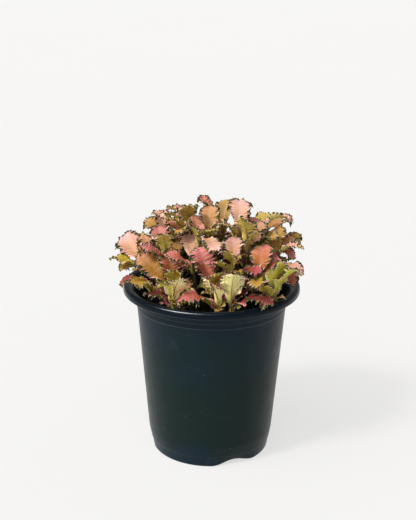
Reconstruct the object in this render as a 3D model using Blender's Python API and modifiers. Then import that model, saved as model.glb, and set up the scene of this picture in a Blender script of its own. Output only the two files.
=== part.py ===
"""A nerve plant in a plastic nursery pot: pot, soil and one node for each leafy stem.

Metres, +Z up. The origin is the centre of the circle that the pot's foot stands on.
"""

import itertools
import math

import bmesh
import bpy
import numpy as np
from mathutils import Matrix, Vector
from mathutils.bvhtree import BVHTree

MM = 0.001
WELD = 0.001 * MM

# Pot, a thin moulded shell with a turned-down lip
RIM_RADIUS = 67.5 * MM
POT_HEIGHT = 134.0 * MM
LIP_DEPTH = 5.3 * MM
WALL = 1.4 * MM
WALL_TOP_RADIUS = 57.6 * MM
WALL_TOP_Z = 122.5 * MM
WALL_FOOT_RADIUS = 48.3 * MM
WALL_FOOT_Z = 16.0 * MM
FOOT_RADIUS = 45.3 * MM
FOOT_BAND_Z = 8.2 * MM
RIDGE_Z = 117.3 * MM
RIDGE = 0.4 * MM
POT_SEGMENTS = 40

# The floor is level with the foot in the middle and raised around it for the drain holes
FLOOR = 1.6 * MM
FLOOR_RISE = 4.5 * MM
MIDDLE_RADIUS = 18.0 * MM

# Three arches in the foot let water out, each with the wall pressed in above it
ARCH_BEARINGS = (-65.0, 55.0, 175.0)
ARCH_HALF_WIDTH = 24.0
ARCH_HEIGHT = 3.4 * MM
ARCH_DENT = 2.2 * MM
DENT_TOP = 17.0 * MM

# Drain holes in the pot's floor
HOLE_RADIUS = 3.0 * MM
HOLE_CIRCLE = 28.0 * MM
HOLE_COUNT = 6
HOLE_SIDES = 8

# Soil, a plug that fills the pot to a little under its lip
GAP = 0.3 * MM
SOIL_Z = 119.0 * MM
SOIL_LUMP = 1.6 * MM
LUMP_SPACING = 13.0 * MM
SOIL_SEGMENTS = 28
SOIL_RINGS = (11, 23, 34, 44, 51)

# Stems
STEM_RADIUS = 1.3 * MM
STEM_SUNK = 8.0 * MM
STEM_STRAIGHT = 2.0 * MM
STEM_HOLE_LENGTH = 14.6 * MM
STEM_HOLE_SIDES = 6
STEM_POINTS = 5
ROOT_SHARE = 0.72

# Blades. Each row of a blade is a cut across it, from the leaf stalk to the tip.
BLADE_THICKNESS = 0.85 * MM
STALK_LENGTH = 5.0 * MM
STALK_HALF_WIDTH = 0.8 * MM
BLADE_ROWS = (0.2, 0.48, 0.74, 0.92)
BLADE_COLUMNS = (-1.0, -0.4, 0.4, 1.0)
WIDTH_SHARE = 0.72
WEDGE = 1.3
ROUNDING = 0.45
BEND_POWER = 1.3
BEND_STEPS = 49
MARGIN_WAVES = 2.0
WAVE_SHARE = 0.055
FOLD = 32.0
CURL = 56.0
SHARE_STEP = 0.07

# How far leaves differ from the plan, in degrees
VARIATION = {"bearing": 4, "rise": 3, "arch": 8, "fold": 8, "curl": 14, "roll": 6}

# How a leaf may stand aside where it would touch another stem, and what each way costs
CLEARANCE = 0.35 * MM
SIZES = (1.0, 0.9, 0.8)
STALKS = (1.0, 1.8, 2.6)
BEARING_TURNS = range(-40, 41, 8)
RISE_TURNS = range(-24, 33, 8)
SIZE_COST = 160
STALK_COST = 10

# A leaf as bearing, rise, length in millimetres, arch and roll, angles in degrees.
# Bearings run from +X towards +Y, so the side that faces the photo's camera is -90.
# The arch is how far the blade bends down from its base to its tip.


def crossed_pairs(bearing, rise):
    """Two pairs of leaves set crosswise, the lower one spread wider."""
    upper = [(bearing + turn, rise, 25, 45, 0) for turn in (0, 180)]
    lower = [(bearing + turn, rise - 22, 28, 50, 0) for turn in (80, 260)]
    return upper + lower


# Leafy stems: where the lowest leaves start in millimetres, then the leaves.
STEMS = {
    "cup_left": ((6, -46, 127), [
        (-130, 80, 27, 35, 0), (-160, 48, 32, 85, 0), (60, 60, 22, 50, 0),
    ]),
    "cup_right": ((14, -45, 127), [
        (-95, 84, 29, 35, 0), (-18, 50, 31, 85, 0), (55, 78, 30, 45, 0), (20, 55, 20, 40, 0),
    ]),
    "left_cup": ((-28, -45, 129), [
        (-70, 80, 24, 35, 0), (-150, 72, 25, 40, 0), (165, 45, 22, 70, 0), (55, 55, 22, 50, 0),
    ]),
    "right_low": ((46, -36, 134), [
        (-60, 84, 30, 40, 0), (-35, 68, 29, 40, 0), (-110, 58, 20, 40, 0), (60, 50, 24, 50, 0),
    ]),
    "right_mid": ((34, -36, 145), [
        (86, 65, 28, 40, 0), (50, 55, 30, 40, 25), (-100, 50, 20, 60, 0), (150, 40, 22, 50, 0),
    ]),
    "front_middle": ((1, -37, 138), [
        (140, 62, 30, 35, -25), (-74, 60, 20, 40, 0), (30, 50, 22, 50, 0),
    ]),
    "left_mid": ((-50, -16, 150), [
        (141, 48, 31, 40, -30), (-145, 60, 24, 35, 0), (110, 80, 28, 30, -15),
    ]),
    "left_behind": ((-31, -30, 139), [
        (150, 46, 30, 40, -35), (90, 80, 26, 30, 0), (-71, 70, 20, 40, 0), (10, 50, 22, 50, 0),
    ]),
    "left_low": ((-43, -28, 133), [
        (-130, 58, 24, 60, 0), (155, 40, 26, 60, 0), (60, 60, 22, 40, 0),
    ]),
    "left_top": ((-36, -19, 161), [
        (107, 50, 24, 50, -15), (-85, 62, 20, 50, 0), (65, 50, 24, 40, 0), (-160, 50, 22, 50, 0),
    ]),
    "mid_left": ((-14, -30, 159), [
        (103, 62, 25, 30, 0), (55, 42, 22, 50, 0), (-165, 50, 22, 50, 0),
    ]),
    "mid_high": ((-9, -19, 175), [
        (-62, 12, 22, 45, 0), (110, 60, 24, 40, 0), (-150, 45, 22, 50, 0), (30, 50, 22, 50, 0),
    ]),
    "mid_right": ((16, -34, 157), [
        (86, 50, 24, 40, 0), (-110, 72, 20, 40, 0), (-150, 48, 22, 40, 0), (10, 45, 22, 50, 0),
    ]),
    "right_top": ((26, -19, 166), [
        (-105, 80, 25, 40, 0), (62, 50, 25, 40, 0), (-25, 55, 22, 50, 0), (160, 50, 22, 50, 0),
    ]),
    "right_edge": ((48, -9, 156), [
        (91, 62, 24, 50, 0), (41, 38, 26, 50, 0), (-42, 40, 26, 50, 0), (-100, 60, 22, 50, 0),
    ]),
    "top_left": ((-19, 2, 174), [
        (-85, 76, 24, 60, 0), (-135, 55, 25, 50, 0), (60, 48, 22, 40, 0), (130, 50, 24, 40, 0),
    ]),
    "top": ((-2, -6, 170), [
        (91, 62, 25, 50, 0), (-83, 66, 20, 60, 0), (-40, 45, 22, 50, 0), (160, 48, 22, 50, 0),
    ]),
    "top_right": ((20, -4, 171), [
        (87, 62, 28, 40, 0), (-132, 63, 24, 50, 0), (50, 45, 24, 60, 0), (-60, 50, 22, 50, 0),
    ]),
    "right_back": ((38, 7, 168), [
        (49, 32, 26, 60, 0), (-86, 45, 20, 50, 0), (140, 55, 24, 50, 0), (-20, 40, 24, 50, 0),
    ]),
    "back_inner": ((8, 18, 168), crossed_pairs(80, 62)),
    "left_inner": ((-34, 6, 162), crossed_pairs(110, 60)),
    "back_left_inner": ((-16, 22, 163), crossed_pairs(120, 60)),
    "back_right_inner": ((29, 25, 157), crossed_pairs(50, 60)),
    "right_shoulder": ((49, 16, 145), crossed_pairs(15, 60)),
    "left_edge": ((-51, 12, 142), crossed_pairs(155, 58)),
    "back_middle": ((0, 39, 149), crossed_pairs(95, 60)),
    "back_left_middle": ((-36, 27, 149), crossed_pairs(130, 60)),
    "back_left": ((-26, 44, 129), crossed_pairs(115, 68)),
    "back": ((3, 51, 128), crossed_pairs(85, 68)),
    "back_right": ((30, 42, 130), crossed_pairs(55, 66)),
}

COLOURS = {
    "pot": (0.030, 0.042, 0.050),
    "soil": (0.035, 0.024, 0.018),
    "leaf": (0.75, 0.36, 0.30),
}


def clear_scene():
    for obj in list(bpy.data.objects):
        bpy.data.objects.remove(obj)


def material(name, roughness):
    made = bpy.data.materials.new(name)
    made.use_nodes = True
    shader = made.node_tree.nodes["Principled BSDF"]
    shader.inputs["Base Color"].default_value = (*COLOURS[name], 1.0)
    shader.inputs["Roughness"].default_value = roughness
    shader.inputs["Metallic"].default_value = 0.0
    return made


def new_object(name, mesh, collection, finish=None):
    obj = bpy.data.objects.new(name, mesh)
    collection.objects.link(obj)
    if finish:
        mesh.materials.clear()
        mesh.materials.append(finish)
    return obj


def mesh_from(name, points, faces):
    mesh = bpy.data.meshes.new(name)
    mesh.from_pydata([tuple(p) for p in points], [], [tuple(f) for f in faces])
    return mesh


def welded(mesh):
    """The mesh with points that lie on one another made one."""
    shape = bmesh.new()
    shape.from_mesh(mesh)
    bmesh.ops.remove_doubles(shape, verts=shape.verts, dist=WELD)
    shape.to_mesh(mesh)
    shape.free()
    return mesh


def evaluated_mesh(obj):
    """The object's mesh with its modifiers or bevel applied, and welded."""
    graph = bpy.context.evaluated_depsgraph_get()
    return welded(bpy.data.meshes.new_from_object(obj.evaluated_get(graph)))


def turned(name, profile, segments, collection):
    """A mesh made by turning (radius, height) points about Z."""
    line = mesh_from(name, [(r, 0, z) for r, z in profile], [])
    line.edges.add(len(profile) - 1)
    for i, edge in enumerate(line.edges):
        edge.vertices = (i, i + 1)
    guide = new_object(name + "_profile", line, collection)
    screw = guide.modifiers.new("turn", "SCREW")
    screw.steps = screw.render_steps = segments
    screw.use_merge_vertices = True
    screw.merge_threshold = 0.01 * MM
    mesh = evaluated_mesh(guide)
    bpy.data.objects.remove(guide)
    return mesh


def wall_radius(z):
    """Outer radius of the pot's straight wall."""
    share = (z - WALL_FOOT_Z) / (WALL_TOP_Z - WALL_FOOT_Z)
    return WALL_FOOT_RADIUS + share * (WALL_TOP_RADIUS - WALL_FOOT_RADIUS)


def pot_profile():
    """Floor, inner wall, flared lip, outer wall and foot, as (radius, height)."""
    lip_under = POT_HEIGHT - LIP_DEPTH
    floor_top = FLOOR_RISE + FLOOR
    inside = [
        (0, FLOOR),
        (MIDDLE_RADIUS - 0.6 * MM, FLOOR),
        (MIDDLE_RADIUS + 1.6 * MM, floor_top),
        (FOOT_RADIUS - 3.4 * MM, floor_top),
        (FOOT_RADIUS - 0.2 * MM, floor_top + 2.5 * MM),
        (WALL_FOOT_RADIUS - WALL, WALL_FOOT_Z),
        (WALL_TOP_RADIUS - WALL, WALL_TOP_Z),
        (WALL_TOP_RADIUS - 0.4 * MM, WALL_TOP_Z + 4.5 * MM),
        (WALL_TOP_RADIUS + 2.2 * MM, POT_HEIGHT - 2.6 * MM),
    ]
    lip = [
        (RIM_RADIUS - 4.6 * MM, POT_HEIGHT - 0.4 * MM),
        (RIM_RADIUS - 2.4 * MM, POT_HEIGHT),
        (RIM_RADIUS - 0.6 * MM, POT_HEIGHT - 0.9 * MM),
        (RIM_RADIUS, POT_HEIGHT - 2.5 * MM),
        (RIM_RADIUS, lip_under),
        (RIM_RADIUS - WALL, lip_under),
        (RIM_RADIUS - 1.5 * MM, POT_HEIGHT - 2.6 * MM),
        (RIM_RADIUS - 4.2 * MM, POT_HEIGHT - 2.0 * MM),
        (WALL_TOP_RADIUS + 2.6 * MM, POT_HEIGHT - 4.6 * MM),
    ]
    outside = [
        (WALL_TOP_RADIUS + 0.6 * MM, WALL_TOP_Z + 2.5 * MM),
        (WALL_TOP_RADIUS, WALL_TOP_Z),
        (wall_radius(RIDGE_Z) + 0.1 * MM, RIDGE_Z + 2 * RIDGE),
        (wall_radius(RIDGE_Z) + RIDGE, RIDGE_Z),
        (wall_radius(RIDGE_Z) - 0.1 * MM, RIDGE_Z - 2 * RIDGE),
        (WALL_FOOT_RADIUS, WALL_FOOT_Z),
        (FOOT_RADIUS + 1.6 * MM, FOOT_BAND_Z),
        (FOOT_RADIUS + 1.2 * MM, FOOT_BAND_Z - 0.4 * MM),
        (FOOT_RADIUS, 0.6 * MM),
        (FOOT_RADIUS - 0.6 * MM, 0),
        (FOOT_RADIUS - 2.4 * MM, 0),
        (FOOT_RADIUS - 2.6 * MM, FLOOR_RISE),
        (MIDDLE_RADIUS + 2.0 * MM, FLOOR_RISE),
        (MIDDLE_RADIUS, 0),
        (0, 0),
    ]
    return inside + lip + outside


def arch_share(x, y):
    """How far a bearing lies inside a foot arch: 1 at its middle, 0 outside it."""
    bearing = math.degrees(math.atan2(y, x))
    share = 0.0
    for middle in ARCH_BEARINGS:
        away = abs((bearing - middle + 180.0) % 360.0 - 180.0) / ARCH_HALF_WIDTH
        if away < 1.0:
            share = math.cos(away * math.pi / 2) ** 2
    return share


def press_arches(mesh):
    """Lifts the foot's edge in three arches and presses the wall in above each."""
    for vertex in mesh.vertices:
        x, y, z = vertex.co
        radius = math.hypot(x, y)
        if z > DENT_TOP or radius < FOOT_RADIUS - 3.5 * MM:
            continue
        share = arch_share(x, y)
        if z < FLOOR_RISE - 0.1 * MM:
            vertex.co.z += ARCH_HEIGHT * share
        inward = 1.0 - ARCH_DENT * share * (1.0 - z / DENT_TOP) / radius
        vertex.co.x *= inward
        vertex.co.y *= inward


def cylinder_cutter(name, radius, sides, place, direction, length, collection):
    shape = bmesh.new()
    bmesh.ops.create_cone(
        shape,
        cap_ends=True,
        segments=sides,
        radius1=radius,
        radius2=radius,
        depth=length,
    )
    mesh = bpy.data.meshes.new(name)
    shape.to_mesh(mesh)
    shape.free()
    cutter = new_object(name, mesh, collection)
    turn = Vector(direction).to_track_quat("Z", "Y").to_matrix().to_4x4()
    cutter.matrix_world = Matrix.Translation(place) @ turn
    cutter.hide_render = True
    cutter.display_type = "WIRE"
    return cutter


def cut_all(obj, cutters):
    """Cuts every object of a collection from obj and keeps the result as its mesh."""
    cut = obj.modifiers.new("holes", "BOOLEAN")
    cut.operand_type = "COLLECTION"
    cut.operation = "DIFFERENCE"
    cut.collection = cutters
    settle(obj, cutters)


def settle(obj, others):
    """Applies obj's modifiers and removes the objects of a collection."""
    bpy.context.view_layer.update()
    mesh = evaluated_mesh(obj)
    finishes = list(obj.data.materials)
    obj.modifiers.clear()
    obj.data = mesh
    mesh.materials.clear()
    for finish in finishes:
        mesh.materials.append(finish)
    for other in list(others.objects):
        bpy.data.objects.remove(other)


def make_pot(parts, cutters):
    """The pot's turned shell with its foot arches pressed and its drain holes cut."""
    mesh = turned("pot", pot_profile(), POT_SEGMENTS, cutters)
    press_arches(mesh)
    pot = new_object("pot", mesh, parts, material("pot", 0.38))
    for i in range(HOLE_COUNT):
        turn = math.tau * i / HOLE_COUNT
        place = (HOLE_CIRCLE * math.cos(turn), HOLE_CIRCLE * math.sin(turn), FLOOR_RISE)
        cylinder_cutter(
            f"drain_{i}", HOLE_RADIUS, HOLE_SIDES, place, (0, 0, 1), 10 * MM, cutters
        )
    cut_all(pot, cutters)
    pot.data.shade_smooth()
    pot.data.set_sharp_from_angle(angle=math.radians(35))


def soil_height(x, y):
    """The soil's uneven top, a few crossed waves and a slight dip at the wall."""
    u = x / LUMP_SPACING
    v = y / LUMP_SPACING
    lumps = math.sin(u + 1.3 * math.sin(v)) + math.cos(1.4 * v - 0.6 * u)
    dip = (math.hypot(x, y) / WALL_TOP_RADIUS) ** 4
    return SOIL_Z + SOIL_LUMP * (0.5 * lumps - dip)


def soil_profile():
    """The plug's top, side and underside, as (radius, height)."""
    top_radius = wall_radius(SOIL_Z) - WALL - GAP
    floor_top = FLOOR_RISE + FLOOR + GAP
    return [
        (0, SOIL_Z),
        *[(radius * MM, SOIL_Z) for radius in SOIL_RINGS],
        (top_radius, SOIL_Z),
        (WALL_FOOT_RADIUS - WALL - GAP, WALL_FOOT_Z),
        (FOOT_RADIUS - 6.0 * MM, floor_top),
        (MIDDLE_RADIUS + 1.4 * MM, floor_top),
        (MIDDLE_RADIUS - 0.9 * MM, FLOOR + GAP),
        (0, FLOOR + GAP),
    ]


def make_soil(parts, cutters, stems):
    """The plug of soil, lumpy on top, with a plain hole for every stem."""
    mesh = turned("soil", soil_profile(), SOIL_SEGMENTS, cutters)
    for vertex in mesh.vertices:
        x, y, z = vertex.co
        if z > SOIL_Z - MM:
            vertex.co.z = soil_height(x, y)
            most = wall_radius(vertex.co.z) - WALL - GAP
            inward = min(1.0, most / max(math.hypot(x, y), GAP))
            vertex.co.x *= inward
            vertex.co.y *= inward
    soil = new_object("soil", mesh, parts, material("soil", 0.95))
    for name, stem in stems.items():
        direction = (stem[1] - stem[0]).normalized()
        middle = stem[0] + direction * (STEM_HOLE_LENGTH / 2 - GAP)
        cylinder_cutter(
            "hole_" + name,
            (STEM_RADIUS + GAP) / math.cos(math.pi / STEM_HOLE_SIDES),
            STEM_HOLE_SIDES,
            middle,
            direction,
            STEM_HOLE_LENGTH,
            cutters,
        )
    cut_all(soil, cutters)


def stem_line(crown):
    """Points along a stem, from its root in the soil to its crown."""
    foot = Vector((crown.x * ROOT_SHARE, crown.y * ROOT_SHARE, SOIL_Z))
    root = foot - Vector((0, 0, STEM_SUNK))
    above = foot + Vector((0, 0, STEM_STRAIGHT))
    knee = foot.lerp(crown, 0.25)
    line = [root]
    for i in range(STEM_POINTS - 1):
        t = i / (STEM_POINTS - 2)
        line.append(above * (1 - t) ** 2 + knee * 2 * t * (1 - t) + crown * t * t)
    return line


def along(line, share):
    """The point at a share of a stem's length above the soil."""
    place = 1 + share * (len(line) - 2)
    i = min(int(place), len(line) - 2)
    return line[i].lerp(line[i + 1], place - i)


def make_stem_mesh(name, line, collection):
    """A round stem along a line, closed at both ends."""
    curve = bpy.data.curves.new(name, "CURVE")
    curve.dimensions = "3D"
    curve.bevel_depth = STEM_RADIUS
    curve.bevel_resolution = 1
    curve.use_fill_caps = True
    spline = curve.splines.new("POLY")
    spline.points.add(len(line) - 1)
    for point, place in zip(spline.points, line):
        point.co = (*place, 1.0)
    guide = new_object(name + "_line", curve, collection)
    mesh = evaluated_mesh(guide)
    bpy.data.objects.remove(guide)
    return mesh


def half_width(u):
    """Half width at a share of a blade's length: a wedge that rounds to a tip."""
    widest = WEDGE / (WEDGE + ROUNDING)
    full = widest**WEDGE * (1 - widest) ** ROUNDING
    return u**WEDGE * (1 - u) ** ROUNDING / full / 2


def leaf_frame(bearing, rise, roll):
    """Rows: along the leaf, its left side and its upper face, at its base."""
    a = math.radians(bearing)
    e = math.radians(rise)
    out = Vector((math.cos(a), math.sin(a), 0))
    up = Vector((0, 0, 1))
    forward = out * math.cos(e) + up * math.sin(e)
    face = up * math.cos(e) - out * math.sin(e)
    face.rotate(Matrix.Rotation(math.radians(roll), 3, forward))
    return np.array([forward, face.cross(forward), face])


def midrib(leaf, shares):
    """Points along the arched midrib, and the blade's upward direction there."""
    forward, _, face = leaf["frame"]
    arch = np.radians(leaf["arch"])
    steps = np.linspace(0, 1, BEND_STEPS)
    bend = arch * steps**BEND_POWER
    ahead = np.interp(shares, steps, integral(np.cos(bend))) * leaf["length"]
    drop = np.interp(shares, steps, integral(np.sin(bend))) * leaf["length"]
    start = leaf["base"] + forward * leaf["stalk"]
    points = start + ahead[:, None] * forward - drop[:, None] * face
    angle = arch * np.asarray(shares)[:, None] ** BEND_POWER
    return points, face * np.cos(angle) + forward * np.sin(angle)


def integral(values):
    """The running sum of evenly spaced values over a length of 1."""
    middles = (values[1:] + values[:-1]) / 2
    return np.concatenate([[0], np.cumsum(middles)]) / len(middles)


def blade_surface(leaf, shares, columns):
    """Middle surface of a blade, as (rows, columns, 3), and each row's upward."""
    points, up = midrib(leaf, shares)
    u = np.asarray(shares)[:, None]
    v = np.asarray(columns)[None, :]
    half = half_width(u) * leaf["width"]
    # The two halves rise from the midrib in a V, and their edges curl down
    fold = np.radians(leaf["fold"]) * (1 - 0.75 * u)
    curl = np.radians(leaf["curl"]) * (0.4 + 0.6 * u)
    turn = fold - curl * np.abs(v)
    across = (np.sin(fold) - np.sin(turn)) / curl * half * np.sign(v)
    phase = leaf["phase"] + np.where(v < 0, math.pi, 0)
    wave = np.sin(math.tau * MARGIN_WAVES * u + phase) * np.abs(v) ** 2.5
    lift = (np.cos(turn) - np.cos(fold)) / curl * half + wave * WAVE_SHARE * leaf["length"]
    surface = points[:, None, :] + across[..., None] * leaf["frame"][1]
    return surface + lift[..., None] * up[:, None, :], up


def leaf_rows(leaf):
    """Each row of a leaf's middle surface and its upward normal, from stem to tip."""
    surface, up = blade_surface(leaf, BLADE_ROWS, BLADE_COLUMNS)
    ends, end_up = midrib(leaf, (0.0, 1.0))
    side = leaf["frame"][1] * STALK_HALF_WIDTH
    half = len(BLADE_COLUMNS) // 2
    rows = []
    for place, normal in ((leaf["base"], leaf["frame"][2]), (ends[0], end_up[0])):
        rows.append(([place - side] * half + [place + side] * half, normal))
    rows += [(list(row), normal) for row, normal in zip(surface, up)]
    rows.append(([ends[1]] * 2 * half, end_up[1]))
    return rows


def leaf_solid(leaf, thickness):
    """A closed blade on its stalk, as points and triangles alike on both faces."""
    rows = leaf_rows(leaf)
    points, faces = [], []
    for row, normal in rows:
        points += [p + normal * thickness / 2 for p in row]
        points += [p - normal * thickness / 2 for p in row]
    count = len(BLADE_COLUMNS)
    for i in range(len(rows) - 1):
        a = 2 * count * i
        b = a + 2 * count
        for j in range(count - 1):
            # The diagonals alternate, so that each face follows the waves
            near, far = (j, j + 1) if (i + j) % 2 else (j + 1, j)
            upper = [(a + j, a + j + 1, b + far), (b + j + 1, b + j, a + near)]
            faces += upper
            faces += [(p + count, r + count, q + count) for p, q, r in upper]
        c, d = a + count - 1, b + count - 1
        faces += [(a, b, b + count), (a, b + count, a + count)]
        faces += [(c, d + count, d), (c, c + count, d + count)]
    for j in range(count - 1):
        faces += [(j, j + count, j + 1 + count), (j, j + 1 + count, j + 1)]
    return points, faces


def turns():
    """Ways for a leaf to stand aside, nearest first: bearing, rise, size and stalk."""
    found = []
    for way in itertools.product(BEARING_TURNS, RISE_TURNS, SIZES, STALKS):
        bearing, rise, size, stalk = way
        cost = abs(bearing) + abs(rise) + SIZE_COST * (1 - size) + STALK_COST * stalk
        found.append((cost, way))
    return [way for _, way in sorted(found)]


def tree_of(points, faces):
    return BVHTree.FromPolygons([tuple(p) for p in points], faces, epsilon=0.0)


def box_of(points):
    points = np.asarray(points)
    return points.min(axis=0), points.max(axis=0)


def is_clear(points, faces, owner, taken):
    """True if a blade touches nothing that belongs to another node."""
    low, high = box_of(points)
    if low[2] < SOIL_Z + SOIL_LUMP:
        return False
    tree = None
    for other, (box_low, box_high), other_tree in taken:
        if other == owner or (low > box_high).any() or (box_low > high).any():
            continue
        tree = tree or tree_of(points, faces)
        if tree.overlap(other_tree):
            return False
    return True


def planned_leaves():
    """Every leaf as planned, a little unlike the others, before any stands aside."""
    plan = []
    for number, (name, (_, leaves)) in enumerate(STEMS.items()):
        for place, (bearing, rise, length, arch, roll) in enumerate(leaves):
            phase = 1.7 * number + 2.9 * place
            plan.append({
                "stem": name,
                "share": 1.0 - SHARE_STEP * place,
                "bearing": bearing + VARIATION["bearing"] * math.sin(phase),
                "rise": rise + VARIATION["rise"] * math.sin(2.3 * phase),
                "arch": arch + VARIATION["arch"] * math.cos(1.9 * phase),
                "length": length * MM,
                "fold": FOLD + VARIATION["fold"] * math.sin(phase),
                "curl": CURL + VARIATION["curl"] * math.cos(2.7 * phase),
                "roll": roll + VARIATION["roll"] * math.sin(1.3 * phase),
                "phase": math.pi * round(phase),
            })
    # The first leaf of every stem is placed before the second ones, and so on
    return sorted(plan, key=lambda leaf: -leaf["share"])


def leaf_at(plan, line, bearing, rise, size, stalk):
    """The leaf of a plan with its frame, turned aside and sized as asked."""
    leaf = dict(plan)
    leaf["base"] = np.array(along(line, plan["share"]))
    leaf["frame"] = leaf_frame(
        plan["bearing"] + bearing, plan["rise"] + rise, plan["roll"]
    )
    leaf["length"] = plan["length"] * size
    leaf["stalk"] = STALK_LENGTH * stalk
    leaf["width"] = WIDTH_SHARE * leaf["length"]
    return leaf


def grow_leaves(stems, taken):
    """Places each planned leaf where it clears every other stem, pot and soil."""
    grown = {name: [] for name in stems}
    for plan in planned_leaves():
        owner = plan["stem"]
        for turn in turns():
            leaf = leaf_at(plan, stems[owner], *turn)
            points, faces = leaf_solid(leaf, BLADE_THICKNESS + 2 * CLEARANCE)
            if is_clear(points, faces, owner, taken):
                points, faces = leaf_solid(leaf, BLADE_THICKNESS)
                taken.append((owner, box_of(points), tree_of(points, faces)))
                grown[owner].append(leaf)
                break
    return grown


def obstacle(name, points, faces):
    return name, box_of(points), tree_of(points, faces)


def obstacles(meshes):
    """What a leaf keeps clear of before any other leaf is there: pot and stems."""
    profile = pot_profile()
    points, faces = [], []
    for i in range(POT_SEGMENTS):
        turn = math.tau * i / POT_SEGMENTS
        points += [(r * math.cos(turn), r * math.sin(turn), z) for r, z in profile]
    for i in range(POT_SEGMENTS):
        a = i * len(profile)
        b = (i + 1) % POT_SEGMENTS * len(profile)
        for j in range(len(profile) - 1):
            faces.append((a + j, b + j, b + j + 1, a + j + 1))
    found = [obstacle("pot", points, faces)]
    for name, mesh in meshes.items():
        points = [tuple(v.co) for v in mesh.vertices]
        faces = [tuple(p.vertices) for p in mesh.polygons]
        found.append(obstacle(name, points, faces))
    return found


def make_shoot(name, stem_mesh, leaves, parts, cutters, finish):
    """One leafy stem: the leaves are joined to their stem and become one solid."""
    shoot = new_object(name, stem_mesh, parts, finish)
    for i, leaf in enumerate(leaves):
        mesh = mesh_from(f"{name}_leaf_{i}", *leaf_solid(leaf, BLADE_THICKNESS))
        new_object(mesh.name, welded(mesh), cutters)
    join = shoot.modifiers.new("leaves", "BOOLEAN")
    join.operand_type = "COLLECTION"
    join.operation = "UNION"
    join.collection = cutters
    settle(shoot, cutters)


def main():
    clear_scene()
    parts = bpy.data.collections.new("potted_nerve_plant")
    cutters = bpy.data.collections.new("cutters")
    for collection in (parts, cutters):
        bpy.context.scene.collection.children.link(collection)
    stems = {name: stem_line(Vector(crown) * MM) for name, (crown, _) in STEMS.items()}
    make_pot(parts, cutters)
    make_soil(parts, cutters, stems)
    meshes = {name: make_stem_mesh(name, stems[name], cutters) for name in stems}
    grown = grow_leaves(stems, obstacles(meshes))
    finish = material("leaf", 0.5)
    for name, leaves in grown.items():
        make_shoot("shoot_" + name, meshes[name], leaves, parts, cutters, finish)


main()
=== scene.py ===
"""A potted nerve plant: pot, soil and thirty leafy stems with crinkled leaves.

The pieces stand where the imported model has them. Metres, +Z up, photographed front at -Y.
"""

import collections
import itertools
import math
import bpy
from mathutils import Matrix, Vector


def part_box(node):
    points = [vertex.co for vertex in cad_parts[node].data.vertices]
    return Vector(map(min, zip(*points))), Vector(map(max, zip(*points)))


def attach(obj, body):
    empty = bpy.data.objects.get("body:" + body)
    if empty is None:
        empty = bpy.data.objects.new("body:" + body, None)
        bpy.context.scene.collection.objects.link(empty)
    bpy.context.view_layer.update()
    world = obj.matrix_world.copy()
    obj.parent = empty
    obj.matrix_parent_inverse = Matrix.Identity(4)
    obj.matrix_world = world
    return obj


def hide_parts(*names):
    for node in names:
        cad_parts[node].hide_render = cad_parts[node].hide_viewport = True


bl_info = {
    "name": "Potted nerve plant",
    "version": (1, 0, 0),
    "blender": (4, 5, 0),
    "location": "3D View > Sidebar > Nerve Plant",
    "description": "Builds a nerve plant in a plastic nursery pot",
    "category": "Object",
}

import bmesh
import bpy
import numpy as np
from mathutils import Matrix, Vector
from mathutils.bvhtree import BVHTree

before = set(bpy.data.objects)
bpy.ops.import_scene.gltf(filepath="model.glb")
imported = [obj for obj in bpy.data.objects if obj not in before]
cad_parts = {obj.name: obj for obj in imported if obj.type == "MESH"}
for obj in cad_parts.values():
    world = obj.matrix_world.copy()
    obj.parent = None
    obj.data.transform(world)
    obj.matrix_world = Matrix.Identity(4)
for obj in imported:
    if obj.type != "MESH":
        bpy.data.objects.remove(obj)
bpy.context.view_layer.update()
POT_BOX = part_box("pot")

MM = 0.001

# Pot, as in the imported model
WALL = 1.4 * MM
LIP_DEPTH = 5.3 * MM
WALL_TOP_RADIUS = 57.6 * MM
WALL_TOP_Z = 122.5 * MM
WALL_FOOT_RADIUS = 48.3 * MM
WALL_FOOT_Z = 16.0 * MM
FOOT_RADIUS = 45.3 * MM
FOOT_BAND_Z = 8.2 * MM
RIDGE_Z = 117.3 * MM
RIDGE = 0.4 * MM
RING_Z = 121.5 * MM
RING = 0.25 * MM
LIP_UNDER_Z = POT_BOX[1].z - LIP_DEPTH
FLOOR = 1.6 * MM
FLOOR_RISE = 4.5 * MM
MIDDLE_RADIUS = 18.0 * MM
ARCH_BEARINGS = (-65.0, 55.0, 175.0)
ARCH_HALF_WIDTH = 24.0
ARCH_HEIGHT = 3.4 * MM
ARCH_DENT = 2.2 * MM
DENT_TOP = 17.0 * MM
HOLE_RADIUS = 3.0 * MM
HOLE_CIRCLE = 28.0 * MM
HOLE_COUNT = 6
POT_EDGE = 4 * MM
SHARP_ANGLE = 40

# Heights over which the plastic turns bluish, or is still bluish at the foot, and of the lip
BLUE_HEIGHTS = (60 * MM, 125 * MM)
FOOT_HEIGHTS = (4 * MM, 20 * MM)
LIP_HEIGHTS = (126 * MM, 129 * MM)

# Soil
GAP = 0.3 * MM
SOIL_Z = 119.0 * MM
LUMP_SPACING = 13.0 * MM
MOST_CRUMBS = 400000.0
CRUMB_SCALES = {"Min": (0.5, 0.5, 0.4), "Max": (1.7, 1.3, 1.0)}
SOIL_STEPS = 72
SOIL_EDGE = 3 * MM

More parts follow.
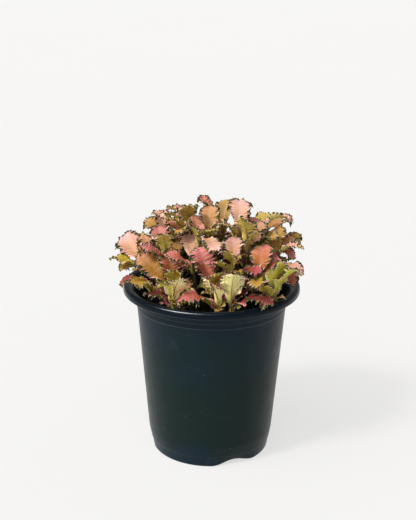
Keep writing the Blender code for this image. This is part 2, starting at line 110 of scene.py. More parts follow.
# Stems and blades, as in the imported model
STEM_SUNK = 8.0 * MM
STEM_STRAIGHT = 2.0 * MM
STEM_POINTS = 5
ROOT_SHARE = 0.72
SOLID_THICKNESS = 0.85 * MM
STALK_LENGTH = 5.0 * MM
WIDTH_SHARE = 0.72
WEDGE = 1.3
BEND_POWER = 1.3
BEND_STEPS = 49
MARGIN_WAVES = 2.0
FOLD = 32.0
CURL = 56.0
SHARE_STEP = 0.07
VARIATION = {"bearing": 4, "rise": 3, "arch": 8, "fold": 8, "curl": 14, "roll": 6}
SIZES = (1.0, 0.9, 0.8)
STALKS = (1.0, 1.8, 2.6)
BEARING_TURNS = range(-40, 41, 8)
RISE_TURNS = range(-24, 33, 8)
SIZE_COST = 160
STALK_COST = 10
MATCH = 0.03 * MM

# Fine blades: their teeth reach past a body that is a little narrower than the solid
BODY_SHARE = 0.93
ROUNDINGS = (0.5, 0.98)
TWIST = 18.0
SIDE_BEND = 0.10
FOLD_LOSS = 0.3
CURL_START = 0.35
FINE_WAVE = 0.075
BARE_SHARES = (0.12, 0.34)
CUP_BARE = 0.56
BARE_FADE = 0.26
UNEVEN = 0.07
FLUTES = 4.6
FLUTE_SHARE = 0.030
STALK_HALF_WIDTH = 0.85 * MM
STALK_ROWS = 4
VEIN_SWEEP = 0.225
VEIN_BOW = 1.3
LATERAL_VEINS = 7
OUTLINE_STEPS = 400
ROW_CROWDING = 0.75
COLUMN_CROWDING = 1.6
LEAST_COLUMNS = 4
WELD = 0.002 * MM
TINY = 1e-9

# Teeth: their size is right at one length of blade, their number varies a little, and
# they drift along the margin in slow waves, given as how far and how often
TOOTHED_LENGTH = 27 * MM
TEETH_SHARES = (0.85, 0.3)
DRIFTS = ((0.9, 2.1), (0.6, 4.7))

# Stem and stalks: the stem's radii in millimetres, from its root to its crown, how far the
# midribs run along their blades, how deep they sit under them, and the length of blade at
# which their radii are right
LINE_POINTS = 12
STEM_RADII = (1.35, 1.0)
MIDRIB_END = 0.93
MIDRIB_SUNK = 0.7
MIDRIB_LENGTH = 26 * MM

# Small leaves at a stem's end and along it: share of the stem, length in millimetres, rise.
# Each stem's leaves are turned on from those of the stem before.
YOUNG_PAIRS = ((1.0, 9.0, 72), (0.9, 11.0, 34), (0.78, 12.0, 52), (0.55, 13.0, 40))
YOUNG_DETAIL = 0.36
YOUNG_TURN = 137.0
YOUNG_ARCH = 35
SMALL_STALK = 0.3

# Narrow curled leaves that stand out against the background: bearing, rise, length, arch
CURLED = {
    "right_back": (-10, 80, 31, 128),
    "right_edge": (8, 64, 24, 100),
    "top_left": (170, 66, 26, 112),
}
CURLED_WIDTH = 0.4
CURLED_FOLD = 58.0
CURLED_DETAIL = 0.6

# Each leaf is drawn again while a coarse sheet of it grows through another leaf
FORM_TRIES = 14
NARROWER = 0.98
COARSE_ROWS = 14
COARSE_COLUMNS = 7
COARSE_START = 0.2
COARSE_WIDTH = 1.12


def crossed_pairs(bearing, rise):
    """Two pairs of leaves set crosswise, the lower one spread wider."""
    upper = [(bearing + turn, rise, 25, 45, 0) for turn in (0, 180)]
    lower = [(bearing + turn, rise - 22, 28, 50, 0) for turn in (80, 260)]
    return upper + lower


# Leafy stems: where the lowest leaves start in millimetres, then each leaf as bearing,
# rise, length in millimetres, arch and roll, angles in degrees.
STEMS = {
    "cup_left": ((6, -46, 127), [
        (-130, 80, 27, 35, 0), (-160, 48, 32, 85, 0), (60, 60, 22, 50, 0),
    ]),
    "cup_right": ((14, -45, 127), [
        (-95, 84, 29, 35, 0), (-18, 50, 31, 85, 0), (55, 78, 30, 45, 0), (20, 55, 20, 40, 0),
    ]),
    "left_cup": ((-28, -45, 129), [
        (-70, 80, 24, 35, 0), (-150, 72, 25, 40, 0), (165, 45, 22, 70, 0), (55, 55, 22, 50, 0),
    ]),
    "right_low": ((46, -36, 134), [
        (-60, 84, 30, 40, 0), (-35, 68, 29, 40, 0), (-110, 58, 20, 40, 0), (60, 50, 24, 50, 0),
    ]),
    "right_mid": ((34, -36, 145), [
        (86, 65, 28, 40, 0), (50, 55, 30, 40, 25), (-100, 50, 20, 60, 0), (150, 40, 22, 50, 0),
    ]),
    "front_middle": ((1, -37, 138), [
        (140, 62, 30, 35, -25), (-74, 60, 20, 40, 0), (30, 50, 22, 50, 0),
    ]),
    "left_mid": ((-50, -16, 150), [
        (141, 48, 31, 40, -30), (-145, 60, 24, 35, 0), (110, 80, 28, 30, -15),
    ]),
    "left_behind": ((-31, -30, 139), [
        (150, 46, 30, 40, -35), (90, 80, 26, 30, 0), (-71, 70, 20, 40, 0), (10, 50, 22, 50, 0),
    ]),
    "left_low": ((-43, -28, 133), [
        (-130, 58, 24, 60, 0), (155, 40, 26, 60, 0), (60, 60, 22, 40, 0),
    ]),
    "left_top": ((-36, -19, 161), [
        (107, 50, 24, 50, -15), (-85, 62, 20, 50, 0), (65, 50, 24, 40, 0), (-160, 50, 22, 50, 0),
    ]),
    "mid_left": ((-14, -30, 159), [
        (103, 62, 25, 30, 0), (55, 42, 22, 50, 0), (-165, 50, 22, 50, 0),
    ]),
    "mid_high": ((-9, -19, 175), [
        (-62, 12, 22, 45, 0), (110, 60, 24, 40, 0), (-150, 45, 22, 50, 0), (30, 50, 22, 50, 0),
    ]),
    "mid_right": ((16, -34, 157), [
        (86, 50, 24, 40, 0), (-110, 72, 20, 40, 0), (-150, 48, 22, 40, 0), (10, 45, 22, 50, 0),
    ]),
    "right_top": ((26, -19, 166), [
        (-105, 80, 25, 40, 0), (62, 50, 25, 40, 0), (-25, 55, 22, 50, 0), (160, 50, 22, 50, 0),
    ]),
    "right_edge": ((48, -9, 156), [
        (91, 62, 24, 50, 0), (41, 38, 26, 50, 0), (-42, 40, 26, 50, 0), (-100, 60, 22, 50, 0),
    ]),
    "top_left": ((-19, 2, 174), [
        (-85, 76, 24, 60, 0), (-135, 55, 25, 50, 0), (60, 48, 22, 40, 0), (130, 50, 24, 40, 0),
    ]),
    "top": ((-2, -6, 170), [
        (91, 62, 25, 50, 0), (-83, 66, 20, 60, 0), (-40, 45, 22, 50, 0), (160, 48, 22, 50, 0),
    ]),
    "top_right": ((20, -4, 171), [
        (87, 62, 28, 40, 0), (-132, 63, 24, 50, 0), (50, 45, 24, 60, 0), (-60, 50, 22, 50, 0),
    ]),
    "right_back": ((38, 7, 168), [
        (49, 32, 26, 60, 0), (-86, 45, 20, 50, 0), (140, 55, 24, 50, 0), (-20, 40, 24, 50, 0),
    ]),
    "back_inner": ((8, 18, 168), crossed_pairs(80, 62)),
    "left_inner": ((-34, 6, 162), crossed_pairs(110, 60)),
    "back_left_inner": ((-16, 22, 163), crossed_pairs(120, 60)),
    "back_right_inner": ((29, 25, 157), crossed_pairs(50, 60)),
    "right_shoulder": ((49, 16, 145), crossed_pairs(15, 60)),
    "left_edge": ((-51, 12, 142), crossed_pairs(155, 58)),
    "back_middle": ((0, 39, 149), crossed_pairs(95, 60)),
    "back_left_middle": ((-36, 27, 149), crossed_pairs(130, 60)),
    "back_left": ((-26, 44, 129), crossed_pairs(115, 68)),
    "back": ((3, 51, 128), crossed_pairs(85, 68)),
    "back_right": ((30, 42, 130), crossed_pairs(55, 66)),
}

# Leaf kinds: colour of the outer part of the upper face, of its heart, and of the back
KINDS = {
    "pink": ((0.80, 0.26, 0.34), (0.38, 0.100, 0.050), (0.58, 0.51, 0.07)),
    "pale": ((0.92, 0.50, 0.57), (0.49, 0.26, 0.14), (0.78, 0.68, 0.21)),
    "salmon": ((0.70, 0.22, 0.22), (0.33, 0.105, 0.015), (0.54, 0.46, 0.05)),
    "tan": ((0.66, 0.29, 0.20), (0.32, 0.150, 0.010), (0.58, 0.49, 0.06)),
    "rose": ((0.54, 0.10, 0.13), (0.20, 0.030, 0.020), (0.46, 0.41, 0.06)),
    "mustard": ((0.46, 0.27, 0.04), (0.30, 0.165, 0.002), (0.46, 0.35, 0.015)),
    "lime": ((0.44, 0.35, 0.03), (0.32, 0.25, 0.008), (0.62, 0.54, 0.06)),
    "cream": ((0.82, 0.36, 0.35), (0.47, 0.19, 0.08), (0.99, 0.86, 0.38)),
}

# The kinds of each stem's leaves, in the order of its leaves
LEAF_KINDS = {
    "cup_left": ("cream", "pink", "rose"),
    "cup_right": ("cream", "rose", "pink", "rose"),
    "left_cup": ("cream", "lime", "rose", "tan"),
    "right_low": ("lime", "lime", "lime", "rose"),
    "right_mid": ("salmon", "pink", "mustard", "rose"),
    "front_middle": ("pink", "lime", "rose"),
    "left_mid": ("pale", "lime", "tan"),
    "left_behind": ("tan", "salmon", "lime", "rose"),
    "left_low": ("mustard", "rose", "lime"),
    "left_top": ("pink", "mustard", "tan", "pink"),
    "mid_left": ("pale", "mustard", "pink"),
    "mid_high": ("pale", "salmon", "tan", "rose"),
    "mid_right": ("pale", "mustard", "pink", "rose"),
    "right_top": ("mustard", "tan", "salmon", "pink"),
    "right_edge": ("mustard", "tan", "pale", "lime"),
    "top_left": ("mustard", "mustard", "tan", "salmon"),
    "top": ("tan", "lime", "pale", "salmon"),
    "top_right": ("pale", "mustard", "pink", "mustard"),
    "right_back": ("tan", "mustard", "salmon", "pink"),
}
OTHER_KINDS = ("pink", "mustard", "tan", "lime", "pale", "salmon", "mustard")
YOUNG_KINDS = ("lime", "rose", "mustard", "lime", "pink", "tan", "mustard")

# Heights over which leaves are painted paler towards the top, as painted light, and deeper towards
# the bottom, as painted shade, and how far
PALER_HEIGHTS = (155 * MM, 185 * MM)
PALER = 0.15
DEEPER_HEIGHTS = (120 * MM, 165 * MM)
DEEPER = 0.16
COLOUR_JITTER = 0.10

# Inputs of the shoots' node tree that the leaf settings of the same names fill
SHEET_SETTINGS = (
    "Frill Height", "Frill Fold", "Tooth Reach", "Turn Up", "Quilting", "Thickness",
)

# Floor and lights: places and directions as seen from the pot's foot
FLOOR_REACH = 9.0
GLOW_COLOUR = (1.0, 0.995, 0.985)
SUN_COLOUR = (1.0, 0.985, 0.96)
DOME_PLACE = (-0.55, -0.60, 0.90)
KEY_PLACE = (-0.62, -0.50, 0.85)
LIP_POINT = (-0.025, -0.062, 0.134)
LIP_LIGHT_SIZE = 0.34
LIP_LIGHT_DISTANCE = 0.6
LIP_LIGHT_DIRECTION = (-0.45, -0.22, 0.86)

# Camera, as fitted to the photograph: turns in radians, focal length in the picture's pixels
CAMERA_PLACE = (0, -0.8236, 0.4289)
CAMERA_YAW = 0.0036
CAMERA_ROLL = 0.0094
FOCUS_PIXELS = 1144.3
PHOTO_HEIGHT = 520
SENSOR = 36.0


def number_setting(name, default, description, **options):
    """A number in a property group, which is whole if its default is."""
    kind = bpy.props.IntProperty if isinstance(default, int) else bpy.props.FloatProperty
    return kind(name=name, default=default, description=description, **options)


def length_setting(name, default, description):
    return number_setting(name, default, description, unit="LENGTH")


def angle_setting(name, default, description):
    return number_setting(name, default, description, subtype="ANGLE")


def colour_setting(name, default, description):
    return bpy.props.FloatVectorProperty(
        name=name, default=default, description=description, subtype="COLOR"
    )


class PotSettings(bpy.types.PropertyGroup):
    """Sizes and finish of the pot."""

    height: length_setting("Height", POT_BOX[1].z, "From the table to the top of the lip")
    rim_radius: length_setting("Rim Radius", POT_BOX[1].x, "Outer radius of the turned-down lip")
    segments: number_setting("Segments", 132, "Steps of the turned wall")
    rounding: length_setting("Rounding", 1.1 * MM, "Largest radius of the moulded corners")
    colour: colour_setting("Colour", (0.0030, 0.0124, 0.0112), "Dark slate plastic")
    tint: colour_setting("Tint", (0.0032, 0.0128, 0.0215), "Bluish clouds in the plastic")
    # The lip's darker colour is painted shade on the top of the pot, not a different plastic
    lip: colour_setting("Lip", (0.0006, 0.0032, 0.0078), "Darker plastic of the lip")
    # Colour of dry dust, which also paints the highlight lines along the pot's edges
    dust_and_highlight: colour_setting("Dust And Highlight", (0.16, 0.17, 0.17), "Dry dust and water marks on the wall")


class SoilSettings(bpy.types.PropertyGroup):
    """The potting mix and its crumbs."""

    lump_height: length_setting("Lump Height", 1.6 * MM, "Height of the wide lumps on top")
    crumb_spacing: length_setting("Crumb Spacing", 1.6 * MM, "Least distance between two crumbs")
    crumb_radius: length_setting("Crumb Radius", 1.1 * MM, "Radius of a middling crumb")
    seed: number_setting("Seed", 5, "Places the crumbs")
    colour: colour_setting("Colour", (0.007, 0.005, 0.004), "Moist peat")
    dry_colour: colour_setting("Dry Colour", (0.030, 0.018, 0.012), "Drier crumbs and fibres")


class LeafSettings(bpy.types.PropertyGroup):
    """Form and colours of the leaves."""

    rows: number_setting("Rows", 90, "Rows along a blade")
    columns: number_setting("Columns", 6, "Columns from midrib to margin")
    teeth: number_setting("Teeth", 14.0, "Crinkles along one margin")
    frill_height: length_setting("Frill Height", 0.85 * MM, "How far the margin waves up and down")
    frill_fold: length_setting("Frill Fold", 0.35 * MM, "How far the crinkles lean over")
    tooth_reach: length_setting("Tooth Reach", 2.1 * MM, "How far the teeth reach past the margin")
    turn_up: length_setting("Turn Up", 1.1 * MM, "How far the whole margin turns up again")
    quilting: length_setting("Quilting", 0.18 * MM, "Height of the bulges between side veins")
    thickness: length_setting("Thickness", 0.42 * MM, "Thickness of a blade")
    seed: number_setting("Seed", 11, "Draws what differs from leaf to leaf")
    # Dark green of the edge, also used for painted shade in the notches and on the lower leaves
    margin: colour_setting("Margin", (0.013, 0.022, 0.006), "Dark green of the crinkled edge")
    margin_light: colour_setting("Margin Light", (0.13, 0.15, 0.02), "Olive green in that edge")
    # Pale pink of the teeth, also used for a painted highlight along the rim
    tooth: colour_setting("Tooth", (0.90, 0.53, 0.55), "Pale pink of the teeth")
    # Painted light: the highest leaves are mixed towards this pale tint
    painted_light_tint: colour_setting("Painted Light Tint", (1.0, 0.64, 0.42), "Pale tint of the highest leaves")
    spots: colour_setting("Spots", (0.085, 0.095, 0.015), "Dark dashes on the back of a blade")
    back_vein: colour_setting("Back Vein", (0.75, 0.70, 0.35), "Veins on the back of a blade")
    stalk: colour_setting("Stalk", (0.38, 0.36, 0.05), "Yellow-green of the leaf stalks")
    flush: colour_setting("Flush", (0.30, 0.17, 0.07), "Reddish flush of the leaf stalks")
    # Stems: brownish green, painted dark as painted shade in the gaps between the leaves
    stem: colour_setting("Stem", (0.050, 0.042, 0.014), "Brownish green of the stems")


class StageSettings(bpy.types.PropertyGroup):
    """Floor, lights and camera."""

    floor_colour: colour_setting("Floor", (0.170, 0.1692, 0.1676), "Pale floor")
    floor_glow: number_setting("Floor Glow", 0.666, "Light from the floor, as on a lit table")
    sky: number_setting("Sky", 0.40, "Strength of the light from all around")
    dome_strength: number_setting("Dome Strength", 1.85, "Very wide light from the upper left")
    dome_angle: angle_setting("Dome Angle", math.radians(75), "How wide the dome light looks")
    key_strength: number_setting("Key Strength", 2.2, "Small light that draws the highlights")
    key_angle: angle_setting("Key Angle", math.radians(12), "How wide the key light looks")
    lip_power: number_setting("Lip Power", 24.0, "Softbox for the lip's gloss", unit="POWER")
    camera_pitch: angle_setting("Camera Pitch", 0.3249, "How far the camera looks down")


class NodeKit:
    """Adds nodes to a tree and links them, so that a tree reads as a formula."""

    def __init__(self, tree):
        self.tree = tree
        self.tree.nodes.clear()

    def add(self, kind, inputs=None, **settings):
        """A node with its settings. Inputs are given by index, name or identifier."""
        node = self.tree.nodes.new(kind)
        node.location = (180 * len(self.tree.nodes), 0)
        for name, value in settings.items():
            setattr(node, name, value)
        self.fill(node, inputs or {})
        return node

    def first(self, kind, inputs=None, **settings):
        """The first output of a new node."""
        return self.add(kind, inputs, **settings).outputs[0]

    def fill(self, node, inputs):
        """Links each input to a socket, or sets it to a plain value."""
        for key, value in inputs.items():
            socket = self.socket(node.inputs, key)
            if isinstance(value, bpy.types.NodeSocket):
                self.tree.links.new(value, socket)
            elif socket.type == "RGBA":
                socket.default_value = (*value, 1.0)
            else:
                socket.default_value = value

    def socket(self, sockets, key):
        if isinstance(key, int):
            return sockets[key]
        return next(s for s in sockets if key in (s.identifier, s.name) and s.enabled)

    def math(self, operation, *values):
        return self.first("ShaderNodeMath", dict(enumerate(values)), operation=operation)

    def times(self, product, *factors):
        for factor in factors:
            product = self.math("MULTIPLY", product, factor)
        return product

    def smooth(self, value, low, high):
        """0 below low, 1 above high, and a soft step between."""
        inputs = {"Value": value, "From Min": low, "From Max": high}
        return self.first("ShaderNodeMapRange", inputs, interpolation_type="SMOOTHSTEP")

    def falling(self, value, low, high):
        """1 below low, 0 above high, and a soft step between."""
        return self.math("SUBTRACT", 1.0, self.smooth(value, low, high))

    def scaled(self, vector, factor):
        return self.first("ShaderNodeVectorMath", {0: vector, "Scale": factor}, operation="SCALE")

    def added(self, a, b):
        return self.first("ShaderNodeVectorMath", {0: a, 1: b}, operation="ADD")

    def mix(self, factor, a, b):
        """Colour a at factor 0 and colour b at factor 1."""
        return self.add("ShaderNodeMix", {0: factor, 6: a, 7: b}, data_type="RGBA").outputs[2]

    def noise(self, vector, scale, detail=2.0):
        inputs = {"Vector": vector, "Scale": scale, "Detail": detail}
        return self.first("ShaderNodeTexNoise", inputs)

    def wobble(self, vector, scale, detail=2.0):
        """Noise with 0 as its middle."""
        return self.math("SUBTRACT", self.noise(vector, scale, detail), 0.5)

    def combined(self, x, y, z):
        return self.first("ShaderNodeCombineXYZ", {0: x, 1: y, 2: z})

    def parts(self, vector):
        return self.add("ShaderNodeSeparateXYZ", {0: vector}).outputs

    def bump(self, height, distance):
        return self.first("ShaderNodeBump", {"Height": height, "Distance": distance})

    def joined(self, *geometries):
        join = self.add("GeometryNodeJoinGeometry")
        for geometry in geometries:
            self.fill(join, {0: geometry})
        return join.outputs[0]

    def painted(self, geometry, material):
        inputs = {"Geometry": geometry, "Material": material}
        return self.first("GeometryNodeSetMaterial", inputs)


def new_tree(name, inputs):
    """A geometry node tree with inputs named by kind, as (tree, kit, its input sockets)."""
    tree = bpy.data.node_groups.new(name, "GeometryNodeTree")
    for kind, names in {"Geometry": ["Geometry"], **inputs}.items():
        for socket_name in names:
            tree.interface.new_socket(
                socket_name, in_out="INPUT", socket_type="NodeSocket" + kind
            )
    tree.interface.new_socket("Geometry", in_out="OUTPUT", socket_type="NodeSocketGeometry")
    kit = NodeKit(tree)
    return tree, kit, kit.add("NodeGroupInput").outputs


def close_tree(kit, geometry):
    """Ends a tree: instances are made real and handed out."""
    real = kit.first("GeometryNodeRealizeInstances", {"Geometry": geometry})
    kit.add("NodeGroupOutput", {"Geometry": real})


def run_tree(obj, tree, values):
    """The plain mesh that a tree makes of obj, with its inputs set by name."""
    modifier = obj.modifiers.new(tree.name, "NODES")
    modifier.node_group = tree
    for item in tree.interface.items_tree:
        if item.in_out == "INPUT" and item.name in values:
            modifier[item.identifier] = values[item.name]
    obj.update_tag()
    return settled_mesh(obj)


def named_settings(settings, names):
    """The settings with the same names as a tree's inputs, by the names of the inputs."""
    return {name: getattr(settings, name.lower().replace(" ", "_")) for name in names}


def settled_mesh(obj):
    """The object's mesh with its modifiers applied; the object is left with none."""
    bpy.context.view_layer.update()
    graph = bpy.context.evaluated_depsgraph_get()
    mesh = bpy.data.meshes.new_from_object(obj.evaluated_get(graph))
    obj.modifiers.clear()
    return mesh


def mesh_of(name, shape):
    """A mesh of a bmesh, which is freed."""
    mesh = bpy.data.meshes.new(name)
    shape.to_mesh(mesh)
    shape.free()
    return mesh


def new_object(name, data):
    obj = bpy.data.objects.new(name, data)
    bpy.context.scene.collection.objects.link(obj)
    return obj


def finish_piece(obj, node):
    """Ties a piece to the root body and hides the imported part that it stands for."""
    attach(obj, "root")
    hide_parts(node)


def new_material(name):
    """A material with one shader, as (material, kit, shader)."""
    material = bpy.data.materials.new(name)
    material.use_nodes = True
    kit = NodeKit(material.node_tree)
    shader = kit.add("ShaderNodeBsdfPrincipled")
    kit.add("ShaderNodeOutputMaterial", {"Surface": shader.outputs[0]})
    return material, kit, shader


def object_place(kit):
    return kit.add("ShaderNodeTexCoord").outputs["Object"]


# Pot


def wall_radius(z):
    """Outer radius of the pot's straight wall."""
    share = (z - WALL_FOOT_Z) / (WALL_TOP_Z - WALL_FOOT_Z)
    return WALL_FOOT_RADIUS + share * (WALL_TOP_RADIUS - WALL_FOOT_RADIUS)


def pot_profile(rim, height):
    """Floor, inner wall, flared lip, outer wall and foot, as (radius, height)."""
    lip_under = height - LIP_DEPTH
    floor_top = FLOOR_RISE + FLOOR
    inside = [
        (0, FLOOR),
        (MIDDLE_RADIUS - 0.6 * MM, FLOOR),
        (MIDDLE_RADIUS + 1.6 * MM, floor_top),
        (FOOT_RADIUS - 3.4 * MM, floor_top),
        (FOOT_RADIUS - 0.2 * MM, floor_top + 2.5 * MM),
        (WALL_FOOT_RADIUS - WALL, WALL_FOOT_Z),
        (WALL_TOP_RADIUS - WALL, WALL_TOP_Z),
        (WALL_TOP_RADIUS - 0.4 * MM, WALL_TOP_Z + 4.5 * MM),
        (WALL_TOP_RADIUS + 2.2 * MM, height - 2.6 * MM),
    ]
    lip = [
        (rim - 4.6 * MM, height - 0.4 * MM),
        (rim - 2.4 * MM, height),
        (rim - 0.6 * MM, height - 0.9 * MM),
        (rim, height - 2.5 * MM),
        (rim, lip_under),
        (rim - WALL, lip_under),
        (rim - 1.5 * MM, height - 2.6 * MM),
        (rim - 4.2 * MM, height - 2.0 * MM),
        (WALL_TOP_RADIUS + 2.6 * MM, height - 4.6 * MM),
    ]
    outside = [
        (WALL_TOP_RADIUS + 0.6 * MM, WALL_TOP_Z + 2.5 * MM),
        (WALL_TOP_RADIUS, WALL_TOP_Z),
        (wall_radius(RING_Z) + 0.05 * MM, RING_Z + 2 * RING),
        (wall_radius(RING_Z) + RING, RING_Z),
        (wall_radius(RING_Z) - 0.05 * MM, RING_Z - 2 * RING),
        (wall_radius(RIDGE_Z) + 0.1 * MM, RIDGE_Z + 2 * RIDGE),
        (wall_radius(RIDGE_Z) + RIDGE, RIDGE_Z),
        (wall_radius(RIDGE_Z) - 0.1 * MM, RIDGE_Z - 2 * RIDGE),
        (WALL_FOOT_RADIUS, WALL_FOOT_Z),
        (FOOT_RADIUS + 1.6 * MM, FOOT_BAND_Z),
        (FOOT_RADIUS + 1.2 * MM, FOOT_BAND_Z - 0.4 * MM),
        (FOOT_RADIUS, 0.6 * MM),
        (FOOT_RADIUS - 0.6 * MM, 0),
        (FOOT_RADIUS - 2.4 * MM, 0),
        (FOOT_RADIUS - 2.6 * MM, FLOOR_RISE),
        (MIDDLE_RADIUS + 2.0 * MM, FLOOR_RISE),
        (MIDDLE_RADIUS, 0),
        (0, 0),
    ]
    return inside + lip + outside


def rounded(profile, radius, steps=4):
    """The profile with each corner turned into a short arc."""
    points = [Vector((r, z)) for r, z in profile]
    found = [points[0]]
    for before, corner, after in zip(points, points[1:], points[2:]):
        reach = min(radius, 0.4 * (before - corner).length, 0.4 * (after - corner).length)
        start = corner + (before - corner).normalized() * reach
        end = corner + (after - corner).normalized() * reach
        for i in range(steps + 1):
            t = i / steps
            found.append(start * (1 - t) ** 2 + corner * 2 * t * (1 - t) + end * t * t)
    return found + [points[-1]]


def divided(points, longest):
    """The line with its long stretches cut into shorter ones."""
    found = [points[0]]
    for start, end in zip(points, points[1:]):
        count = max(1, math.ceil((end - start).length / longest))
        found += [start.lerp(end, (i + 1) / count) for i in range(count)]
    return found


def turned(name, points, segments):
    """A closed mesh made by turning a line of (radius, height) points about Z."""
    mesh = bpy.data.meshes.new(name)
    places = [(p[0], 0, p[1]) for p in points]
    mesh.from_pydata(places, [(i, i + 1) for i in range(len(points) - 1)], [])
    guide = new_object(name, mesh)
    screw = guide.modifiers.new("turn", "SCREW")
    screw.steps = screw.render_steps = segments
    screw.use_merge_vertices = True
    screw.merge_threshold = 0.01 * MM
    made = settled_mesh(guide)
    bpy.data.objects.remove(guide)
    shape = bmesh.new()
    shape.from_mesh(made)
    bmesh.ops.remove_doubles(shape, verts=shape.verts, dist=0.001 * MM)
    bmesh.ops.recalc_face_normals(shape, faces=shape.faces)
    shape.to_mesh(made)
    shape.free()
    return made


def arch_share(x, y):
    """How far a bearing lies inside a foot arch: 1 at its middle, 0 outside it."""
    bearing = math.degrees(math.atan2(y, x))
    share = 0.0
    for middle in ARCH_BEARINGS:
        away = abs((bearing - middle + 180.0) % 360.0 - 180.0) / ARCH_HALF_WIDTH
        if away < 1.0:
            share = math.cos(away * math.pi / 2) ** 2
    return share


def press_arches(mesh):
    """Lifts the foot's edge in three arches and presses the wall in above each."""
    for vertex in mesh.vertices:
        x, y, z = vertex.co
        radius = math.hypot(x, y)
        if z > DENT_TOP or radius < FOOT_RADIUS - 3.5 * MM:
            continue
        share = arch_share(x, y)
        vertex.co.z += ARCH_HEIGHT * share * max(0.0, 1.0 - z / FLOOR_RISE)
        inward = 1.0 - ARCH_DENT * share * (1.0 - z / DENT_TOP) / radius
        vertex.co.x *= inward
        vertex.co.y *= inward


def drill_floor(pot):
    """Cuts the drain holes through the raised ring of the floor."""
    shape = bmesh.new()
    for i in range(HOLE_COUNT):
        turn = math.tau * i / HOLE_COUNT
        place = (HOLE_CIRCLE * math.cos(turn), HOLE_CIRCLE * math.sin(turn), FLOOR_RISE)
        bmesh.ops.create_cone(
            shape,
            cap_ends=True,
            segments=32,
            radius1=HOLE_RADIUS,
            radius2=HOLE_RADIUS,
            depth=10 * MM,
            matrix=Matrix.Translation(place),
        )
    drill = new_object("drill", mesh_of("drill", shape))
    cut = pot.modifiers.new("drain", "BOOLEAN")
    cut.operation = "DIFFERENCE"
    cut.object = drill
    pot.data = settled_mesh(pot)
    bpy.data.objects.remove(drill)


def pot_colour(kit, settings, place, height, lip):
    """Teal plastic, bluish above and at its foot, with dust, a lip painted darker as painted
    shade, and thin painted highlights along the lip's lower edge, the ring and the ridge.
    """
    shifted = kit.math("MULTIPLY_ADD", kit.wobble(place, 26.0, 3.0), 0.13, height)
    blue = kit.math(
        "MAXIMUM", kit.smooth(shifted, *BLUE_HEIGHTS), kit.falling(shifted, *FOOT_HEIGHTS)
    )
    colour = kit.mix(blue, settings.colour, settings.tint)
    smudges = kit.smooth(kit.noise(place, 75.0, 4.0), 0.60, 0.74)
    colour = kit.mix(kit.times(smudges, 0.03), colour, settings.dust_and_highlight)
    specks = kit.first("ShaderNodeTexVoronoi", {"Vector": place, "Scale": 160.0})
    sparse = kit.smooth(kit.noise(place, 60.0), 0.56, 0.62)
    specks = kit.times(kit.falling(specks, 0.05, 0.10), sparse, 0.4)
    colour = kit.mix(specks, colour, settings.dust_and_highlight)
    # Painted shade: the lip is mixed towards a darker colour, standing in for less light falling
    # on the pot's top
    colour = kit.mix(kit.times(lip, 0.9), colour, settings.lip)
    # Painted highlights: thin lighter lines along the lip's lower edge, the ring and the ridge,
    # standing in for light caught on those edges
    for edge in (LIP_UNDER_Z, RING_Z, RIDGE_Z):
        away = kit.math("ABSOLUTE", kit.math("SUBTRACT", height, edge + 0.2 * MM))
        painted_highlight = kit.times(kit.falling(away, 0.15 * MM, 0.45 * MM), kit.noise(place, 40.0), 0.35)
        colour = kit.mix(painted_highlight, colour, settings.dust_and_highlight)
    return colour


def pot_material(settings):
    """Satin dark plastic, which is smoother on the lip than on the wall."""
    material, kit, shader = new_material("pot plastic")
    place = object_place(kit)
    height = kit.parts(place)[2]
    lip = kit.smooth(height, *LIP_HEIGHTS)
    worn = kit.math("MULTIPLY_ADD", kit.noise(place, 110.0, 5.0), 0.24, 0.24)
    kit.fill(shader, {
        "Base Color": pot_colour(kit, settings, place, height, lip),
        "Roughness": kit.math("MULTIPLY_ADD", lip, -0.14, worn),
        "Specular IOR Level": 0.12,
        "Sheen Weight": 0.06,
        "Sheen Roughness": 0.35,
        "Normal": kit.bump(kit.noise(place, 2600.0), 0.008 * MM),
    })
    return material


# Soil


def soil_height(x, y, lump):
    """The soil's uneven top, a few crossed waves and a slight dip at the wall."""
    u = x / LUMP_SPACING
    v = y / LUMP_SPACING
    lumps = math.sin(u + 1.3 * math.sin(v)) + math.cos(1.4 * v - 0.6 * u)
    dip = (math.hypot(x, y) / WALL_TOP_RADIUS) ** 4
    return SOIL_Z + lump * (0.5 * lumps - dip)


def soil_profile():
    """The plug's top, side and underside, as (radius, height)."""
    floor_top = FLOOR_RISE + FLOOR + GAP
    return [
        (0, SOIL_Z),
        (wall_radius(SOIL_Z) - WALL - GAP, SOIL_Z),
        (WALL_FOOT_RADIUS - WALL - GAP, WALL_FOOT_Z),
        (FOOT_RADIUS - 6.0 * MM, floor_top),
        (MIDDLE_RADIUS + 1.4 * MM, floor_top),
        (MIDDLE_RADIUS - 0.9 * MM, FLOOR + GAP),
        (0, FLOOR + GAP),
    ]


def shape_soil(mesh, lump):
    """Gives the plug its uneven top, clear of the pot's wall."""
    for vertex in mesh.vertices:
        x, y, z = vertex.co
        if z > SOIL_Z - MM:
            vertex.co.z = soil_height(x, y, lump)
            most = wall_radius(vertex.co.z) - WALL - GAP
            inward = min(1.0, most / max(math.hypot(x, y), GAP))
            vertex.co.x *= inward
            vertex.co.y *= inward


